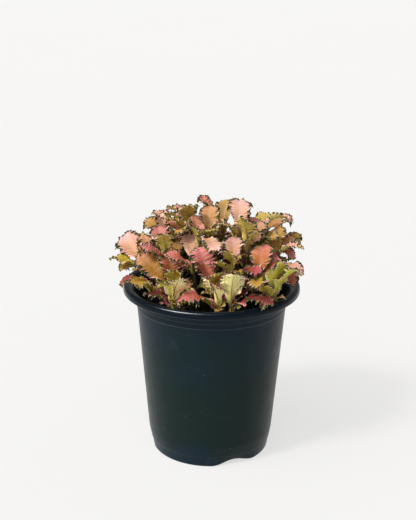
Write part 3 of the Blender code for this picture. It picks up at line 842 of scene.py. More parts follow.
def soil_tree():
    """Scatters crumbs of potting mix on the plug's top."""
    tree, kit, given = new_tree("soil crumbs", {
        "Float": ["Crumb Spacing", "Crumb Radius"],
        "Int": ["Seed"],
        "Material": ["Material"],
    })
    height = kit.parts(kit.first("GeometryNodeInputNormal"))[2]
    points = kit.first("GeometryNodeDistributePointsOnFaces", {
        "Mesh": given["Geometry"],
        "Selection": kit.math("GREATER_THAN", height, 0.5),
        "Distance Min": given["Crumb Spacing"],
        "Density Max": MOST_CRUMBS,
        "Seed": given["Seed"],
    }, distribute_method="POISSON")
    ball = {"Radius": given["Crumb Radius"], "Subdivisions": 1}
    turns = {"Max": (math.tau, math.tau, math.tau), "Seed": given["Seed"]}
    crumbs = kit.first("GeometryNodeInstanceOnPoints", {
        "Points": points,
        "Instance": kit.first("GeometryNodeMeshIcoSphere", ball),
        "Rotation": kit.first("FunctionNodeRandomValue", turns, data_type="FLOAT_VECTOR"),
        "Scale": kit.first("FunctionNodeRandomValue", CRUMB_SCALES, data_type="FLOAT_VECTOR"),
    })
    place = kit.first("GeometryNodeInputPosition")
    rough = kit.add("ShaderNodeTexNoise", {"Vector": place, "Scale": 900.0})
    push = kit.added(rough.outputs["Color"], (-0.5, -0.5, -0.5))
    jagged = kit.first("GeometryNodeSetPosition", {
        "Geometry": kit.first("GeometryNodeRealizeInstances", {"Geometry": crumbs}),
        "Offset": kit.scaled(push, kit.times(given["Crumb Radius"], 1.6)),
    })
    close_tree(kit, kit.painted(kit.joined(given["Geometry"], jagged), given["Material"]))
    return tree


def soil_material(settings):
    """Dark moist peat with drier crumbs and fibres."""
    material, kit, shader = new_material("potting mix")
    place = object_place(kit)
    dry = kit.smooth(kit.noise(place, 420.0, 4.0), 0.50, 0.72)
    kit.fill(shader, {
        "Base Color": kit.mix(dry, settings.colour, settings.dry_colour),
        "Roughness": 0.92,
        "Normal": kit.bump(kit.noise(place, 1800.0, 4.0), 0.4 * MM),
    })
    return material


# Leaves


def stem_line(crown):
    """Points along a stem, from its root in the soil to its crown."""
    foot = Vector((crown.x * ROOT_SHARE, crown.y * ROOT_SHARE, SOIL_Z))
    root = foot - Vector((0, 0, STEM_SUNK))
    above = foot + Vector((0, 0, STEM_STRAIGHT))
    knee = foot.lerp(crown, 0.25)
    line = [root]
    for i in range(STEM_POINTS - 1):
        t = i / (STEM_POINTS - 2)
        line.append(above * (1 - t) ** 2 + knee * 2 * t * (1 - t) + crown * t * t)
    return line


def along(line, share):
    """The point at a share of a stem's length above the soil."""
    place = 1 + share * (len(line) - 2)
    i = min(int(place), len(line) - 2)
    return line[i].lerp(line[i + 1], place - i)


def smoothstep(value, low, high):
    t = np.clip((value - low) / (high - low), 0, 1)
    return t * t * (3 - 2 * t)


def half_width(u, rounding):
    """Half width at a share of a blade's length: a wedge that rounds to a tip."""
    widest = WEDGE / (WEDGE + rounding)
    full = widest**WEDGE * (1 - widest) ** rounding
    return u**WEDGE * (1 - u) ** rounding / full / 2


def leaf_frame(bearing, rise, roll):
    """Rows: along the leaf, its left side and its upper face, at its base."""
    a = math.radians(bearing)
    e = math.radians(rise)
    out = Vector((math.cos(a), math.sin(a), 0))
    up = Vector((0, 0, 1))
    forward = out * math.cos(e) + up * math.sin(e)
    face = up * math.cos(e) - out * math.sin(e)
    face.rotate(Matrix.Rotation(math.radians(roll), 3, forward))
    return np.array([forward, face.cross(forward), face])


def integral(values):
    """The running sum of evenly spaced values over a length of 1."""
    middles = (values[1:] + values[:-1]) / 2
    return np.concatenate([[0], np.cumsum(middles)]) / len(middles)


def midrib(leaf, shares):
    """Points along the arched midrib and its stalk, and the upward direction there."""
    forward, _, face = leaf["frame"]
    shares = np.asarray(shares, float)
    arch = np.radians(leaf["arch"])
    steps = np.linspace(0, 1, BEND_STEPS)
    bend = arch * steps**BEND_POWER
    ahead = np.interp(shares, steps, integral(np.cos(bend))) + np.minimum(shares, 0)
    drop = np.interp(shares, steps, integral(np.sin(bend)))
    start = leaf["base"] + forward * leaf["stalk"]
    offset = ahead[:, None] * forward - drop[:, None] * face
    angle = arch * np.maximum(shares, 0)[:, None] ** BEND_POWER
    return start + offset * leaf["length"], face * np.cos(angle) + forward * np.sin(angle)


def breadth(leaf, shares):
    """Half the blade's width in metres, no narrower than its stalk at the base."""
    u = np.clip(shares, 0, 1)
    half = half_width(u, leaf["rounding"]) * leaf["width"] * BODY_SHARE
    return np.hypot(half, STALK_HALF_WIDTH * np.sqrt(1 - u))


def on_blade(leaf, u, v):
    """Points of a blade at shares u of its length and v of its half width."""
    points, up = midrib(leaf, u)
    grown = np.clip(u, 0, 1)
    side = np.sign(v)
    half = breadth(leaf, u) * (1 + leaf["uneven"] * side)
    # The two halves rise from the midrib in a V, and their edges curl down
    fold = np.radians(leaf["fold"]) * (1 - FOLD_LOSS * grown)
    curl = np.radians(leaf["curl"]) * (CURL_START + (1 - CURL_START) * grown)
    turn = fold - curl * np.abs(v)
    across = (np.sin(fold) - np.sin(turn)) / curl * half * side
    lift = (np.cos(turn) - np.cos(fold)) / curl * half
    phase = leaf["phase"] + np.where(v < 0, math.pi, 0)
    wave = FINE_WAVE * np.sin(math.tau * MARGIN_WAVES * grown + phase) * np.abs(v) ** 2.5
    flute = np.sin(math.tau * FLUTES * grown + leaf["flute"] + side) * np.abs(v) ** 3
    lift += (wave + FLUTE_SHARE * flute * smoothstep(grown, 0.1, 0.4)) * leaf["length"]
    # The blade twists and bends aside towards its tip
    twist = leaf["twist"] * grown
    sideways = across * np.cos(twist) - lift * np.sin(twist)
    sideways += leaf["side_bend"] * leaf["length"] * grown**2
    lift = across * np.sin(twist) + lift * np.cos(twist)
    return points + sideways[:, None] * leaf["frame"][1] + lift[:, None] * up


def ways():
    """Ways for a leaf to stand aside, nearest first: bearing, rise, size and stalk."""
    found = []
    for way in itertools.product(BEARING_TURNS, RISE_TURNS, SIZES, STALKS):
        bearing, rise, size, stalk = way
        cost = abs(bearing) + abs(rise) + SIZE_COST * (1 - size) + STALK_COST * stalk
        found.append((cost, way))
    return [way for _, way in sorted(found)]


def planned_leaf(number, place, leaf):
    """A leaf as planned, a little unlike the others."""
    bearing, rise, length, arch, roll = leaf
    phase = 1.7 * number + 2.9 * place
    return {
        "share": 1.0 - SHARE_STEP * place,
        "bearing": bearing + VARIATION["bearing"] * math.sin(phase),
        "rise": rise + VARIATION["rise"] * math.sin(2.3 * phase),
        "arch": arch + VARIATION["arch"] * math.cos(1.9 * phase),
        "length": length * MM,
        "fold": FOLD + VARIATION["fold"] * math.sin(phase),
        "curl": CURL + VARIATION["curl"] * math.cos(2.7 * phase),
        "roll": roll + VARIATION["roll"] * math.sin(1.3 * phase),
        "phase": math.pi * round(phase),
    }


def leaf_at(plan, line, bearing, rise, size, stalk):
    """The leaf of a plan with its frame, turned aside and sized as asked."""
    leaf = dict(plan)
    leaf["base"] = np.array(along(line, plan["share"]))
    leaf["frame"] = leaf_frame(plan["bearing"] + bearing, plan["rise"] + rise, plan["roll"])
    leaf["length"] = plan["length"] * size
    leaf["stalk"] = STALK_LENGTH * stalk
    leaf["width"] = WIDTH_SHARE * leaf["length"]
    return leaf


def is_on_solid(leaf, corners):
    """True if the leaf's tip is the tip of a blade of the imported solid."""
    ends, up = midrib(leaf, [1.0])
    for side in (-0.5, 0.5):
        tip = ends[0] + up[0] * side * SOLID_THICKNESS
        if np.linalg.norm(corners - tip, axis=1).min() > MATCH:
            return False
    return True


def leaves_of(number, name, line, all_ways):
    """The leaves of a stem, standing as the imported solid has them, with their kinds."""
    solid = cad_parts["shoot_" + name].data
    corners = np.array([v.co for v in solid.vertices])
    kinds = LEAF_KINDS.get(name)
    found = []
    for place, given in enumerate(STEMS[name][1]):
        plan = planned_leaf(number, place, given)
        leaves = (leaf_at(plan, line, *way) for way in all_ways)
        leaf = next((leaf for leaf in leaves if is_on_solid(leaf, corners)), None)
        if leaf:
            other = OTHER_KINDS[(3 * number + 2 * place) % len(OTHER_KINDS)]
            leaf["kind"] = kinds[place] if kinds else other
            found.append(leaf)
    return found


def young_leaves(number, name, line):
    """Pairs of small leaves at the end of a stem and along it, each pair set crosswise."""
    found = []
    for pair, (share, length, rise) in enumerate(YOUNG_PAIRS):
        for side in range(2):
            bearing = YOUNG_TURN * number + 180.0 * side + 90.0 * pair
            plan = planned_leaf(number, side + 2 * pair, (bearing, rise, length, YOUNG_ARCH, 0))
            leaf = leaf_at(plan, line, 0, 0, 1.0, SMALL_STALK)
            leaf["base"] = np.array(along(line, share))
            leaf["kind"] = YOUNG_KINDS[(number + pair + side) % len(YOUNG_KINDS)]
            leaf["detail"] = YOUNG_DETAIL
            found.append(leaf)
    return found


def curled_leaves(number, name, line):
    """The narrow curled leaf at a stem's end, if it has one."""
    if name not in CURLED:
        return []
    bearing, rise, length, arch = CURLED[name]
    plan = planned_leaf(number, 0, (bearing, rise, length, arch, 0))
    plan["fold"] = CURLED_FOLD
    leaf = leaf_at(plan, line, 0, 0, 1.0, SMALL_STALK)
    leaf["width"] *= CURLED_WIDTH
    leaf["kind"] = "pale"
    leaf["detail"] = CURLED_DETAIL
    return [leaf]


def margin_shares(leaf, places):
    """Shares of a blade's length at places from 0 to 1 along its margin."""
    steps = 1 - np.linspace(1, 0, OUTLINE_STEPS) ** 2
    outline = np.stack([steps * leaf["length"], breadth(leaf, steps)], axis=1)
    lengths = np.linalg.norm(np.diff(outline, axis=0), axis=1)
    reached = np.concatenate([[0], np.cumsum(lengths)])
    return np.interp(places * reached[-1], reached, steps)


def unit(vectors):
    lengths = np.linalg.norm(vectors, axis=-1, keepdims=True)
    return vectors / np.maximum(lengths, TINY)


def drawn(leaf, draw, narrower):
    """The leaf with the small ways in which it differs from the others."""
    bare = CUP_BARE if leaf["kind"] in ("cream", "lime") else draw.uniform(*BARE_SHARES)
    return {
        **leaf,
        "width": leaf["width"] * narrower,
        "bare": bare,
        "rounding": draw.uniform(*ROUNDINGS),
        "uneven": draw.uniform(-UNEVEN, UNEVEN),
        "flute": draw.uniform(0, math.tau),
        "twist": math.radians(draw.uniform(-TWIST, TWIST)),
        "side_bend": draw.uniform(-SIDE_BEND, SIDE_BEND),
    }


def coarse_tree(leaf):
    """A coarse sheet of the blade, a little too wide, to find what it grows through."""
    shares = np.linspace(COARSE_START, 1, COARSE_ROWS)
    sides = np.linspace(-1, 1, COARSE_COLUMNS)
    u, v = np.meshgrid(shares, sides, indexing="ij")
    wide = {**leaf, "width": leaf["width"] * COARSE_WIDTH}
    points = on_blade(wide, u.ravel(), v.ravel())
    faces = sheet_faces(COARSE_ROWS, COARSE_COLUMNS, 0)
    return BVHTree.FromPolygons(points.tolist(), faces.tolist())


def settled_leaf(leaf, draw, others):
    """The leaf in the first drawn form that meets no other leaf, and whether there is one."""
    for count in range(FORM_TRIES):
        form = drawn(leaf, draw, NARROWER**count)
        tree = coarse_tree(form)
        if not any(tree.overlap(other) for other in others):
            others.append(tree)
            return form, True
    others.append(tree)
    return form, False


def grown_leaves(seed):
    """The leaves of every stem, with small ones where no other leaf is in their way."""
    all_ways = ways()
    others, shoots = [], {}
    for number, (name, (crown, _)) in enumerate(STEMS.items()):
        draw = np.random.default_rng([seed, number])
        line = stem_line(Vector(crown) * MM)
        leaves = leaves_of(number, name, line, all_ways)
        if not leaves:
            raise RuntimeError(f"no leaf of {name} stands on its solid")
        leaves = [settled_leaf(leaf, draw, others)[0] for leaf in leaves]
        shoots[name] = (line, leaves, draw)
    for small_leaves in (curled_leaves, young_leaves):
        for number, (name, (line, leaves, draw)) in enumerate(shoots.items()):
            for leaf in small_leaves(number, name, line):
                form, is_free = settled_leaf(leaf, draw, others)
                if is_free:
                    leaves.append(form)
    return shoots


def sheet_grid(leaf, settings, scale):
    """A blade's rows as shares of its length and of its margin, and columns across it."""
    places = np.linspace(0, 1, round(settings.rows * scale)) ** ROW_CROWDING
    foot = -leaf["stalk"] / leaf["length"]
    stalk = np.linspace(foot, 0, STALK_ROWS, endpoint=False)
    shares = np.concatenate([stalk, margin_shares(leaf, places)])
    places = np.concatenate([np.zeros(STALK_ROWS), places])
    columns = max(LEAST_COLUMNS, round(settings.columns * scale))
    steps = 1 - (1 - np.linspace(0, 1, columns + 1)) ** COLUMN_CROWDING
    return shares, places, np.concatenate([-steps[:0:-1], steps])


def swept_points(leaf, margin, across):
    """Points of a blade in rows that follow its side veins.

    A side vein leaves the midrib behind where it meets the margin.
    """
    start = margin - VEIN_SWEEP * np.clip(margin, 0, 1) * (1 - margin)
    reach = np.abs(across)[None, :]
    u = start[:, None] + (margin - start)[:, None] * reach**VEIN_BOW
    y = breadth(leaf, margin)[:, None] * reach
    widest = np.maximum(breadth(leaf, u.ravel()).reshape(u.shape), TINY)
    v = np.clip(y / widest, 0, 1) * np.sign(across)[None, :]
    return on_blade(leaf, u.ravel(), v.ravel()).reshape(*u.shape, 3)


def tooth_phase(places, teeth, draw):
    """Where each row lies in the run of teeth along one margin."""
    drift = 0
    for far, often in DRIFTS:
        drift = drift + far * np.sin(math.tau * (often * places + draw.random()))
    return math.tau * (teeth * places + draw.random()) + drift


def blade_sheet(leaf, settings, draw):
    """A blade's open middle sheet with what its crinkles and colours are made from."""
    margin, places, across = sheet_grid(leaf, settings, leaf.get("detail", 1.0))
    points = swept_points(leaf, margin, across)
    reach = np.abs(across)[None, :]
    size = leaf["length"] / TOOTHED_LENGTH
    fewest, more = TEETH_SHARES
    teeth = settings.teeth * (fewest + more * draw.random()) * math.sqrt(size)
    right, left = (tooth_phase(places, teeth, draw)[:, None] for _ in range(2))
    phase = np.where(across[None, :] < 0, right, left)
    frilled = smoothstep(margin, leaf["bare"], leaf["bare"] + BARE_FADE)[:, None]
    place = np.broadcast_arrays(places[:, None], reach, np.sin(phase))
    return {
        "points": points,
        "edge": frilled * reach,
        "phase": phase,
        "along": unit(np.gradient(points, axis=0)),
        "outward": unit(np.gradient(points, axis=1)) * np.sign(across)[None, :, None],
        "place": np.stack(place, axis=-1),
        "size": np.full(phase.shape, size),
    }


def sheet_faces(rows, columns, first):
    """Quads of a grid of points, wound so that they face up."""
    a = first + np.arange(rows - 1)[:, None] * columns + np.arange(columns - 1)[None, :]
    return np.stack([a, a + columns, a + columns + 1, a + 1], axis=-1).reshape(-1, 4)


def jittered(colour, draw):
    """A colour a little lighter or darker and a little warmer or cooler."""
    light = 1 + COLOUR_JITTER * (2 * draw.random() - 1)
    warm = 0.6 * COLOUR_JITTER * (2 * draw.random() - 1)
    return np.clip(np.array(colour) * light * (1 + warm, 1, 1 - warm), 0, 1)


def add_attribute(mesh, name, kind, domain, values):
    attribute = mesh.attributes.new(name, kind, domain)
    field = {"FLOAT": "value", "FLOAT_VECTOR": "vector", "FLOAT_COLOR": "color"}[kind]
    attribute.data.foreach_set(field, np.asarray(values, np.float32).ravel())


def blades_mesh(name, leaves, settings, draw):
    """One mesh of open sheets for a shoot's leaves."""
    sheets = [blade_sheet(leaf, settings, draw) for leaf in leaves]
    faces, colours = [], {"outer": [], "heart": [], "back": []}
    count = 0
    for leaf, sheet in zip(leaves, sheets):
        rows, columns = sheet["phase"].shape
        quads = sheet_faces(rows, columns, count)
        faces.append(quads)
        count += rows * columns
        for part, colour in zip(colours, KINDS[leaf["kind"]]):
            shade = (*jittered(colour, draw), 1.0)
            colours[part].append(np.tile(shade, (len(quads), 1)))
    points = np.concatenate([sheet["points"].reshape(-1, 3) for sheet in sheets])
    mesh = bpy.data.meshes.new(name)
    mesh.from_pydata(points.tolist(), [], np.concatenate(faces).tolist())
    for key in ("edge", "phase", "size"):
        values = np.concatenate([sheet[key].ravel() for sheet in sheets])
        add_attribute(mesh, key, "FLOAT", "POINT", values)
    for key in ("along", "outward", "place"):
        values = np.concatenate([sheet[key].reshape(-1, 3) for sheet in sheets])
        add_attribute(mesh, key, "FLOAT_VECTOR", "POINT", values)
    for part, values in colours.items():
        add_attribute(mesh, part, "FLOAT_COLOR", "FACE", np.concatenate(values))
    return mesh


def midrib_line(leaf):
    """Points along a leaf's stalk and midrib, with radii that shrink towards its tip."""
    shares = np.linspace(-leaf["stalk"] / leaf["length"], MIDRIB_END, LINE_POINTS)
    points, up = midrib(leaf, shares)
    aside = leaf["side_bend"] * leaf["length"] * np.clip(shares, 0, 1) ** 2
    points = points + aside[:, None] * leaf["frame"][1]
    remaining = 1 - np.linspace(0, 1, LINE_POINTS)
    radii = (0.8 * remaining**1.3 + 0.1) * MM * (leaf["length"] / MIDRIB_LENGTH)
    return points - up * radii[:, None] * MIDRIB_SUNK, radii


def stalk_lines(line, leaves):
    """The stem, and a stalk that runs on as the midrib of each leaf, as lines of edges."""
    bend = [along(line, share) for share in np.linspace(0, 1, LINE_POINTS)]
    stem = np.array([line[0], *bend])
    radii = np.linspace(*STEM_RADII, len(stem)) * MM
    lines = [(stem, radii), *(midrib_line(leaf) for leaf in leaves)]
    starts = np.cumsum([0, *(len(points) for points, _ in lines)])
    pairs = [(i, i + 1) for a, b in zip(starts, starts[1:]) for i in range(a, b - 1)]
    mesh = bpy.data.meshes.new("stalks")
    mesh.from_pydata(np.concatenate([points for points, _ in lines]).tolist(), pairs, [])
    add_attribute(mesh, "thick", "FLOAT", "POINT", np.concatenate([radii for _, radii in lines]))
    add_attribute(mesh, "fresh", "FLOAT", "POINT", np.arange(starts[-1]) >= len(stem))
    return mesh


def named(kit, name, kind="FLOAT"):
    node = kit.add("GeometryNodeInputNamedAttribute", {"Name": name}, data_type=kind)
    return next(o for o in node.outputs if o.enabled)


def quilted(kit, place):
    """How far the face bulges between the side veins: 0 on a vein, up to 1 between."""
    veins = kit.math("COSINE", kit.times(place[0], math.tau * LATERAL_VEINS))
    between = kit.math("MULTIPLY_ADD", veins, -0.5, 0.5)
    middle = kit.times(place[1], kit.math("SUBTRACT", 1.0, place[1]))
    return kit.times(between, middle, 4.0)


def crinkle(kit, given):
    """How far each point of a sheet moves: frills, teeth and the quilted face."""
    edge = named(kit, "edge")
    phase = named(kit, "phase")
    place = kit.parts(named(kit, "place", "FLOAT_VECTOR"))
    patches = kit.first("ShaderNodeTexNoise", {
        "Vector": kit.first("GeometryNodeInputPosition"),
        "W": given["Seed"],
        "Scale": 240.0,
    }, noise_dimensions="4D")
    uneven = kit.math("MULTIPLY_ADD", patches, 5.6, -1.8)
    wave = kit.math("SINE", phase)
    # The notches between two teeth stand up, and the teeth bend down
    rise = kit.times(kit.math("POWER", edge, 2.2), kit.times(wave, -1.0))
    rise = kit.times(rise, given["Frill Height"], uneven)
    rise = kit.math("MULTIPLY_ADD", kit.math("POWER", edge, 4.0), given["Turn Up"], rise)
    rise = kit.math("MULTIPLY_ADD", quilted(kit, place), given["Quilting"], rise)
    lean = kit.math("SINE", kit.times(phase, 2.0))
    lean = kit.times(lean, edge, kit.times(edge, edge), given["Frill Fold"])
    pointed = kit.math("MULTIPLY_ADD", kit.math("ARCSINE", wave), 1 / math.pi, 0.5)
    tooth = kit.math("SUBTRACT", kit.math("POWER", pointed, 1.3), 0.4)
    tooth = kit.times(tooth, kit.math("POWER", edge, 5.0), given["Tooth Reach"], uneven)
    offset = kit.scaled(kit.first("GeometryNodeInputNormal"), rise)
    for direction, distance in (("along", lean), ("outward", tooth)):
        aside = kit.scaled(named(kit, direction, "FLOAT_VECTOR"), distance)
        offset = kit.added(offset, aside)
    return kit.scaled(offset, named(kit, "size"))


def thickened(kit, sheet, thickness):
    """Closed blades made from a sheet, with their upper faces marked."""
    shell = kit.add("GeometryNodeExtrudeMesh", {
        "Mesh": sheet,
        "Offset Scale": thickness,
        "Individual": False,
    })
    upper = kit.first("GeometryNodeStoreNamedAttribute", {
        "Geometry": shell.outputs["Mesh"],
        "Name": "upper",
        "Value": shell.outputs["Top"],
    }, data_type="FLOAT", domain="FACE")
    under = kit.first("GeometryNodeFlipFaces", {"Mesh": sheet})
    both = kit.joined(upper, under)
    return kit.first("GeometryNodeMergeByDistance", {"Geometry": both, "Distance": WELD})


def tubes(kit, lines):
    """Six-sided tubes along an object's edges, as thick as its points say."""
    edges = kit.add("GeometryNodeObjectInfo", {"Object": lines}).outputs["Geometry"]
    return kit.first("GeometryNodeCurveToMesh", {
        "Curve": kit.first("GeometryNodeMeshToCurve", {"Mesh": edges}),
        "Profile Curve": kit.first("GeometryNodeCurvePrimitiveCircle", {
            "Resolution": 6,
            "Radius": 1.0,
        }),
        "Scale": named(kit, "thick"),
        "Fill Caps": True,
    })


def shoot_tree():
    """Crinkles a shoot's sheets, gives them thickness and adds stem and stalks."""
    tree, kit, given = new_tree("crinkled shoot", {
        "Object": ["Stalks"],
        "Float": SHEET_SETTINGS,
        "Int": ["Seed"],
        "Material": ["Blade Material", "Stalk Material"],
    })
    sheet = kit.first("GeometryNodeSetPosition", {
        "Geometry": given["Geometry"],
        "Offset": crinkle(kit, given),
    })
    blades = kit.painted(thickened(kit, sheet, given["Thickness"]), given["Blade Material"])
    stalks = kit.painted(tubes(kit, given["Stalks"]), given["Stalk Material"])
    soft = kit.first("GeometryNodeSetShadeSmooth", {"Geometry": kit.joined(blades, stalks)})
    close_tree(kit, soft)
    return tree


def attribute(kit, name):
    return kit.add("ShaderNodeAttribute", attribute_name=name).outputs


def vein_share(kit, place, across, along_margin):
    """1 on the side veins and the midrib, less on the fine net between, 0 elsewhere."""
    sweep = kit.math("FRACT", kit.math("MULTIPLY_ADD", along_margin, LATERAL_VEINS, 0.5))
    sweep = kit.math("ABSOLUTE", kit.math("SUBTRACT", sweep, 0.5))
    strong = kit.math("MAXIMUM", kit.falling(sweep, 0.02, 0.10), kit.falling(across, 0.02, 0.07))
    cells = {"Vector": place, "Scale": 520.0}
    net = kit.first("ShaderNodeTexVoronoi", cells, feature="DISTANCE_TO_EDGE")
    return kit.math("MAXIMUM", strong, kit.times(kit.falling(net, 0.02, 0.11), 0.3))


def upper_face(kit, settings, across, along_margin, veins):
    """Pink to tan face, warmer at its heart, with pale veins and streaks."""
    outer = attribute(kit, "outer")["Color"]
    heart = attribute(kit, "heart")["Color"]
    # Fine light and dark streaks run out along the side veins
    fine = kit.wobble(kit.combined(kit.times(along_margin, 60.0), across, 0.0), 1.6)
    near = kit.falling(kit.math("MULTIPLY_ADD", fine, 0.6, across), 0.50, 1.12)
    low = kit.math("SUBTRACT", 1.0, kit.times(kit.smooth(along_margin, 0.4, 0.95), 0.55))
    colour = kit.mix(kit.times(near, low), outer, heart)
    pale = kit.mix(0.35, colour, settings.tooth)
    lit = kit.math("MULTIPLY_ADD", fine, 0.9, kit.times(veins, 0.30))
    return kit.mix(kit.math("MAXIMUM", lit, 0.0), colour, pale)


def back_face(kit, settings, across, along_margin, veins):
    """Yellow-green back with rows of dark dashes between pale veins."""
    back = attribute(kit, "back")["Color"]
    fresh = kit.mix(0.55, back, settings.stalk)
    colour = kit.mix(kit.smooth(along_margin, 0.0, 0.45), fresh, back)
    place = kit.combined(kit.times(along_margin, 30.0), kit.times(across, 4.0), 0.0)
    cells = {"Vector": place, "Scale": 1.0, "Randomness": 0.9}
    dots = kit.times(
        kit.falling(kit.first("ShaderNodeTexVoronoi", cells, voronoi_dimensions="2D"), 0.17, 0.27),
        kit.smooth(kit.noise(place, 0.55), 0.40, 0.56),
        kit.smooth(across, 0.06, 0.20),
        kit.smooth(along_margin, 0.14, 0.34),
    )
    colour = kit.mix(kit.times(veins, 0.25), colour, settings.back_vein)
    return kit.mix(kit.times(dots, 0.8), colour, settings.spots)


def margined(kit, settings, colour, back, place, across, crest):
    """A face with pale teeth and a dark, uneven margin, which is bare near the stalk; the pale
    teeth are partly a painted highlight along the rim, and the margin's reach into the notches is
    partly painted shade.
    """
    # Pale pink teeth: partly the teeth's own colour, partly a painted highlight along the rim
    teeth = kit.times(kit.smooth(across, 0.66, 0.96), kit.smooth(crest, -0.5, 0.6), 0.7)
    colour = kit.mix(teeth, colour, settings.tooth)
    # The dark edge, the leaf's own dark green, reaches further in at the notches than at the
    # teeth, as painted shade in the notches
    depth = kit.math("MULTIPLY_ADD", crest, -0.20, across)
    depth = kit.math("MULTIPLY_ADD", kit.wobble(place, 600.0), 0.45, depth)
    toothed = kit.math("DIVIDE", attribute(kit, "edge")["Fac"], kit.math("MAXIMUM", across, 0.05))
    grown = kit.smooth(toothed, 0.1, 0.6)
    olive = kit.smooth(kit.noise(place, 330.0), 0.48, 0.64)
    fringe = kit.times(kit.smooth(depth, 0.68, 0.86), olive, grown, 0.55)
    colour = kit.mix(fringe, colour, back)
    edge = kit.mix(olive, settings.margin, settings.margin_light)
    return kit.mix(kit.times(kit.smooth(depth, 0.85, 0.92), grown), colour, edge)


def blade_material(settings):
    """Both faces of a blade, and its dark crinkled margin with pale teeth."""
    material, kit, shader = new_material("leaf blade")
    place = object_place(kit)
    height = kit.parts(place)[2]
    along_margin, across, crest = kit.parts(attribute(kit, "place")["Vector"])
    veins = vein_share(kit, place, across, along_margin)
    upper = upper_face(kit, settings, across, along_margin, veins)
    back = back_face(kit, settings, across, along_margin, veins)
    colour = kit.mix(attribute(kit, "upper")["Fac"], back, upper)
    # Painted light: the higher a leaf stands, the more it is mixed towards a pale tint
    painted_light = kit.times(kit.smooth(height, *PALER_HEIGHTS), PALER)
    colour = kit.mix(painted_light, colour, settings.painted_light_tint)
    colour = margined(kit, settings, colour, back, place, across, crest)
    # Painted shade: the lower a leaf stands, the more it is mixed towards the margin's dark green
    painted_shade = kit.times(kit.falling(height, *DEEPER_HEIGHTS), DEEPER)
    relief = kit.math("MULTIPLY_ADD", veins, -0.6, kit.noise(place, 1500.0, 3.0))
    kit.fill(shader, {
        "Base Color": kit.mix(painted_shade, colour, settings.margin),
        "Roughness": 0.42,
        "Subsurface Weight": 0.3,
        "Subsurface Radius": (1.0, 0.7, 0.25),
        "Subsurface Scale": 0.8 * MM,
        "Specular IOR Level": 0.28,
        "Normal": kit.bump(relief, 0.10 * MM),
    })
    return material


def stalk_material(settings):
    """Yellow-green stalks and midribs, with a reddish flush, on brownish green stems, painted dark
    as painted shade in the gaps between the leaves.
    """
    material, kit, shader = new_material("leaf stalk")
    place = object_place(kit)
    flush = kit.smooth(kit.noise(place, 90.0), 0.45, 0.75)
    colour = kit.mix(flush, settings.stalk, settings.flush)
    kit.fill(shader, {
        # Painted shade: the stems take the dark stem colour, standing in for the shade between the
        # leaves
        "Base Color": kit.mix(attribute(kit, "fresh")["Fac"], settings.stem, colour),
        "Roughness": 0.5,
        "Normal": kit.bump(kit.noise(place, 1600.0), 0.08 * MM),
    })
    return material


class NERVEPLANT_OT_pot(bpy.types.Operator):
    """Turn the pot's wall, press its foot arches and drill its floor"""

    bl_idname = "nerve_plant.pot"
    bl_label = "Make Pot"

    def execute(self, context):
        settings = context.scene.nerve_plant_pot
        profile = pot_profile(settings.rim_radius, settings.height)
        points = divided(rounded(profile, settings.rounding), POT_EDGE)
        pot = new_object("nursery_pot", turned("nursery_pot", points, settings.segments))
        press_arches(pot.data)
        drill_floor(pot)
        pot.data.materials.clear()
        pot.data.materials.append(pot_material(settings))
        pot.data.shade_smooth()
        pot.data.set_sharp_from_angle(angle=math.radians(SHARP_ANGLE))
        finish_piece(pot, "pot")
        return {"FINISHED"}


class NERVEPLANT_OT_soil(bpy.types.Operator):
    """Fill the pot with potting mix and strew crumbs on it"""

    bl_idname = "nerve_plant.soil"
    bl_label = "Make Soil"

    def execute(self, context):
        settings = context.scene.nerve_plant_soil
        points = divided([Vector(p) for p in soil_profile()], SOIL_EDGE)
        mesh = turned("potting_soil", points, SOIL_STEPS)
        shape_soil(mesh, settings.lump_height)
        soil = new_object("potting_soil", mesh)
        values = named_settings(settings, ("Crumb Spacing", "Crumb Radius", "Seed"))
        values["Material"] = soil_material(settings)
        soil.data = run_tree(soil, soil_tree(), values)
        finish_piece(soil, "soil")
        return {"FINISHED"}


class NERVEPLANT_OT_shoots(bpy.types.Operator):
    """Grow every leafy stem with its crinkled leaves"""

    bl_idname = "nerve_plant.shoots"
    bl_label = "Grow Shoots"

    def execute(self, context):
        settings = context.scene.nerve_plant_leaf
        tree = shoot_tree()
        values = named_settings(settings, SHEET_SETTINGS)
        values["Blade Material"] = blade_material(settings)
        values["Stalk Material"] = stalk_material(settings)
        shoots = grown_leaves(settings.seed)
        for number, (name, (line, leaves, draw)) in enumerate(shoots.items()):
            shoot = new_object("leafy_" + name, blades_mesh(name, leaves, settings, draw))
            stalks = new_object("stalks", stalk_lines(line, leaves))
            values["Stalks"] = stalks
            values["Seed"] = settings.seed + number
            shoot.data = run_tree(shoot, tree, values)
            bpy.data.objects.remove(stalks)
            finish_piece(shoot, "shoot_" + name)
        return {"FINISHED"}


class NERVEPLANT_OT_stage(bpy.types.Operator):
    """Lay the pale floor and set the lights and the camera"""

    bl_idname = "nerve_plant.stage"
    bl_label = "Set Stage"

    def execute(self, context):
        settings = context.scene.nerve_plant_stage
        make_floor(settings)
        make_lights(context.scene, settings)
        make_camera(context.scene, settings)
        return {"FINISHED"}


def make_floor(settings):
    """A wide, flat, pale floor that glows a little."""
    shape = bmesh.new()
    bmesh.ops.create_circle(shape, cap_ends=True, segments=96, radius=FLOOR_REACH)
    floor = new_object("floor", mesh_of("floor", shape))
    material, kit, shader = new_material("pale floor")
    soft = kit.noise(object_place(kit), 3.0, 1.0)
    lighter = tuple(min(1.0, 1.04 * c) for c in settings.floor_colour)
    kit.fill(shader, {
        "Base Color": kit.mix(soft, settings.floor_colour, lighter),
        "Roughness": 0.9,
        "Emission Color": GLOW_COLOUR,
        "Emission Strength": settings.floor_glow,
    })
    floor.data.materials.append(material)


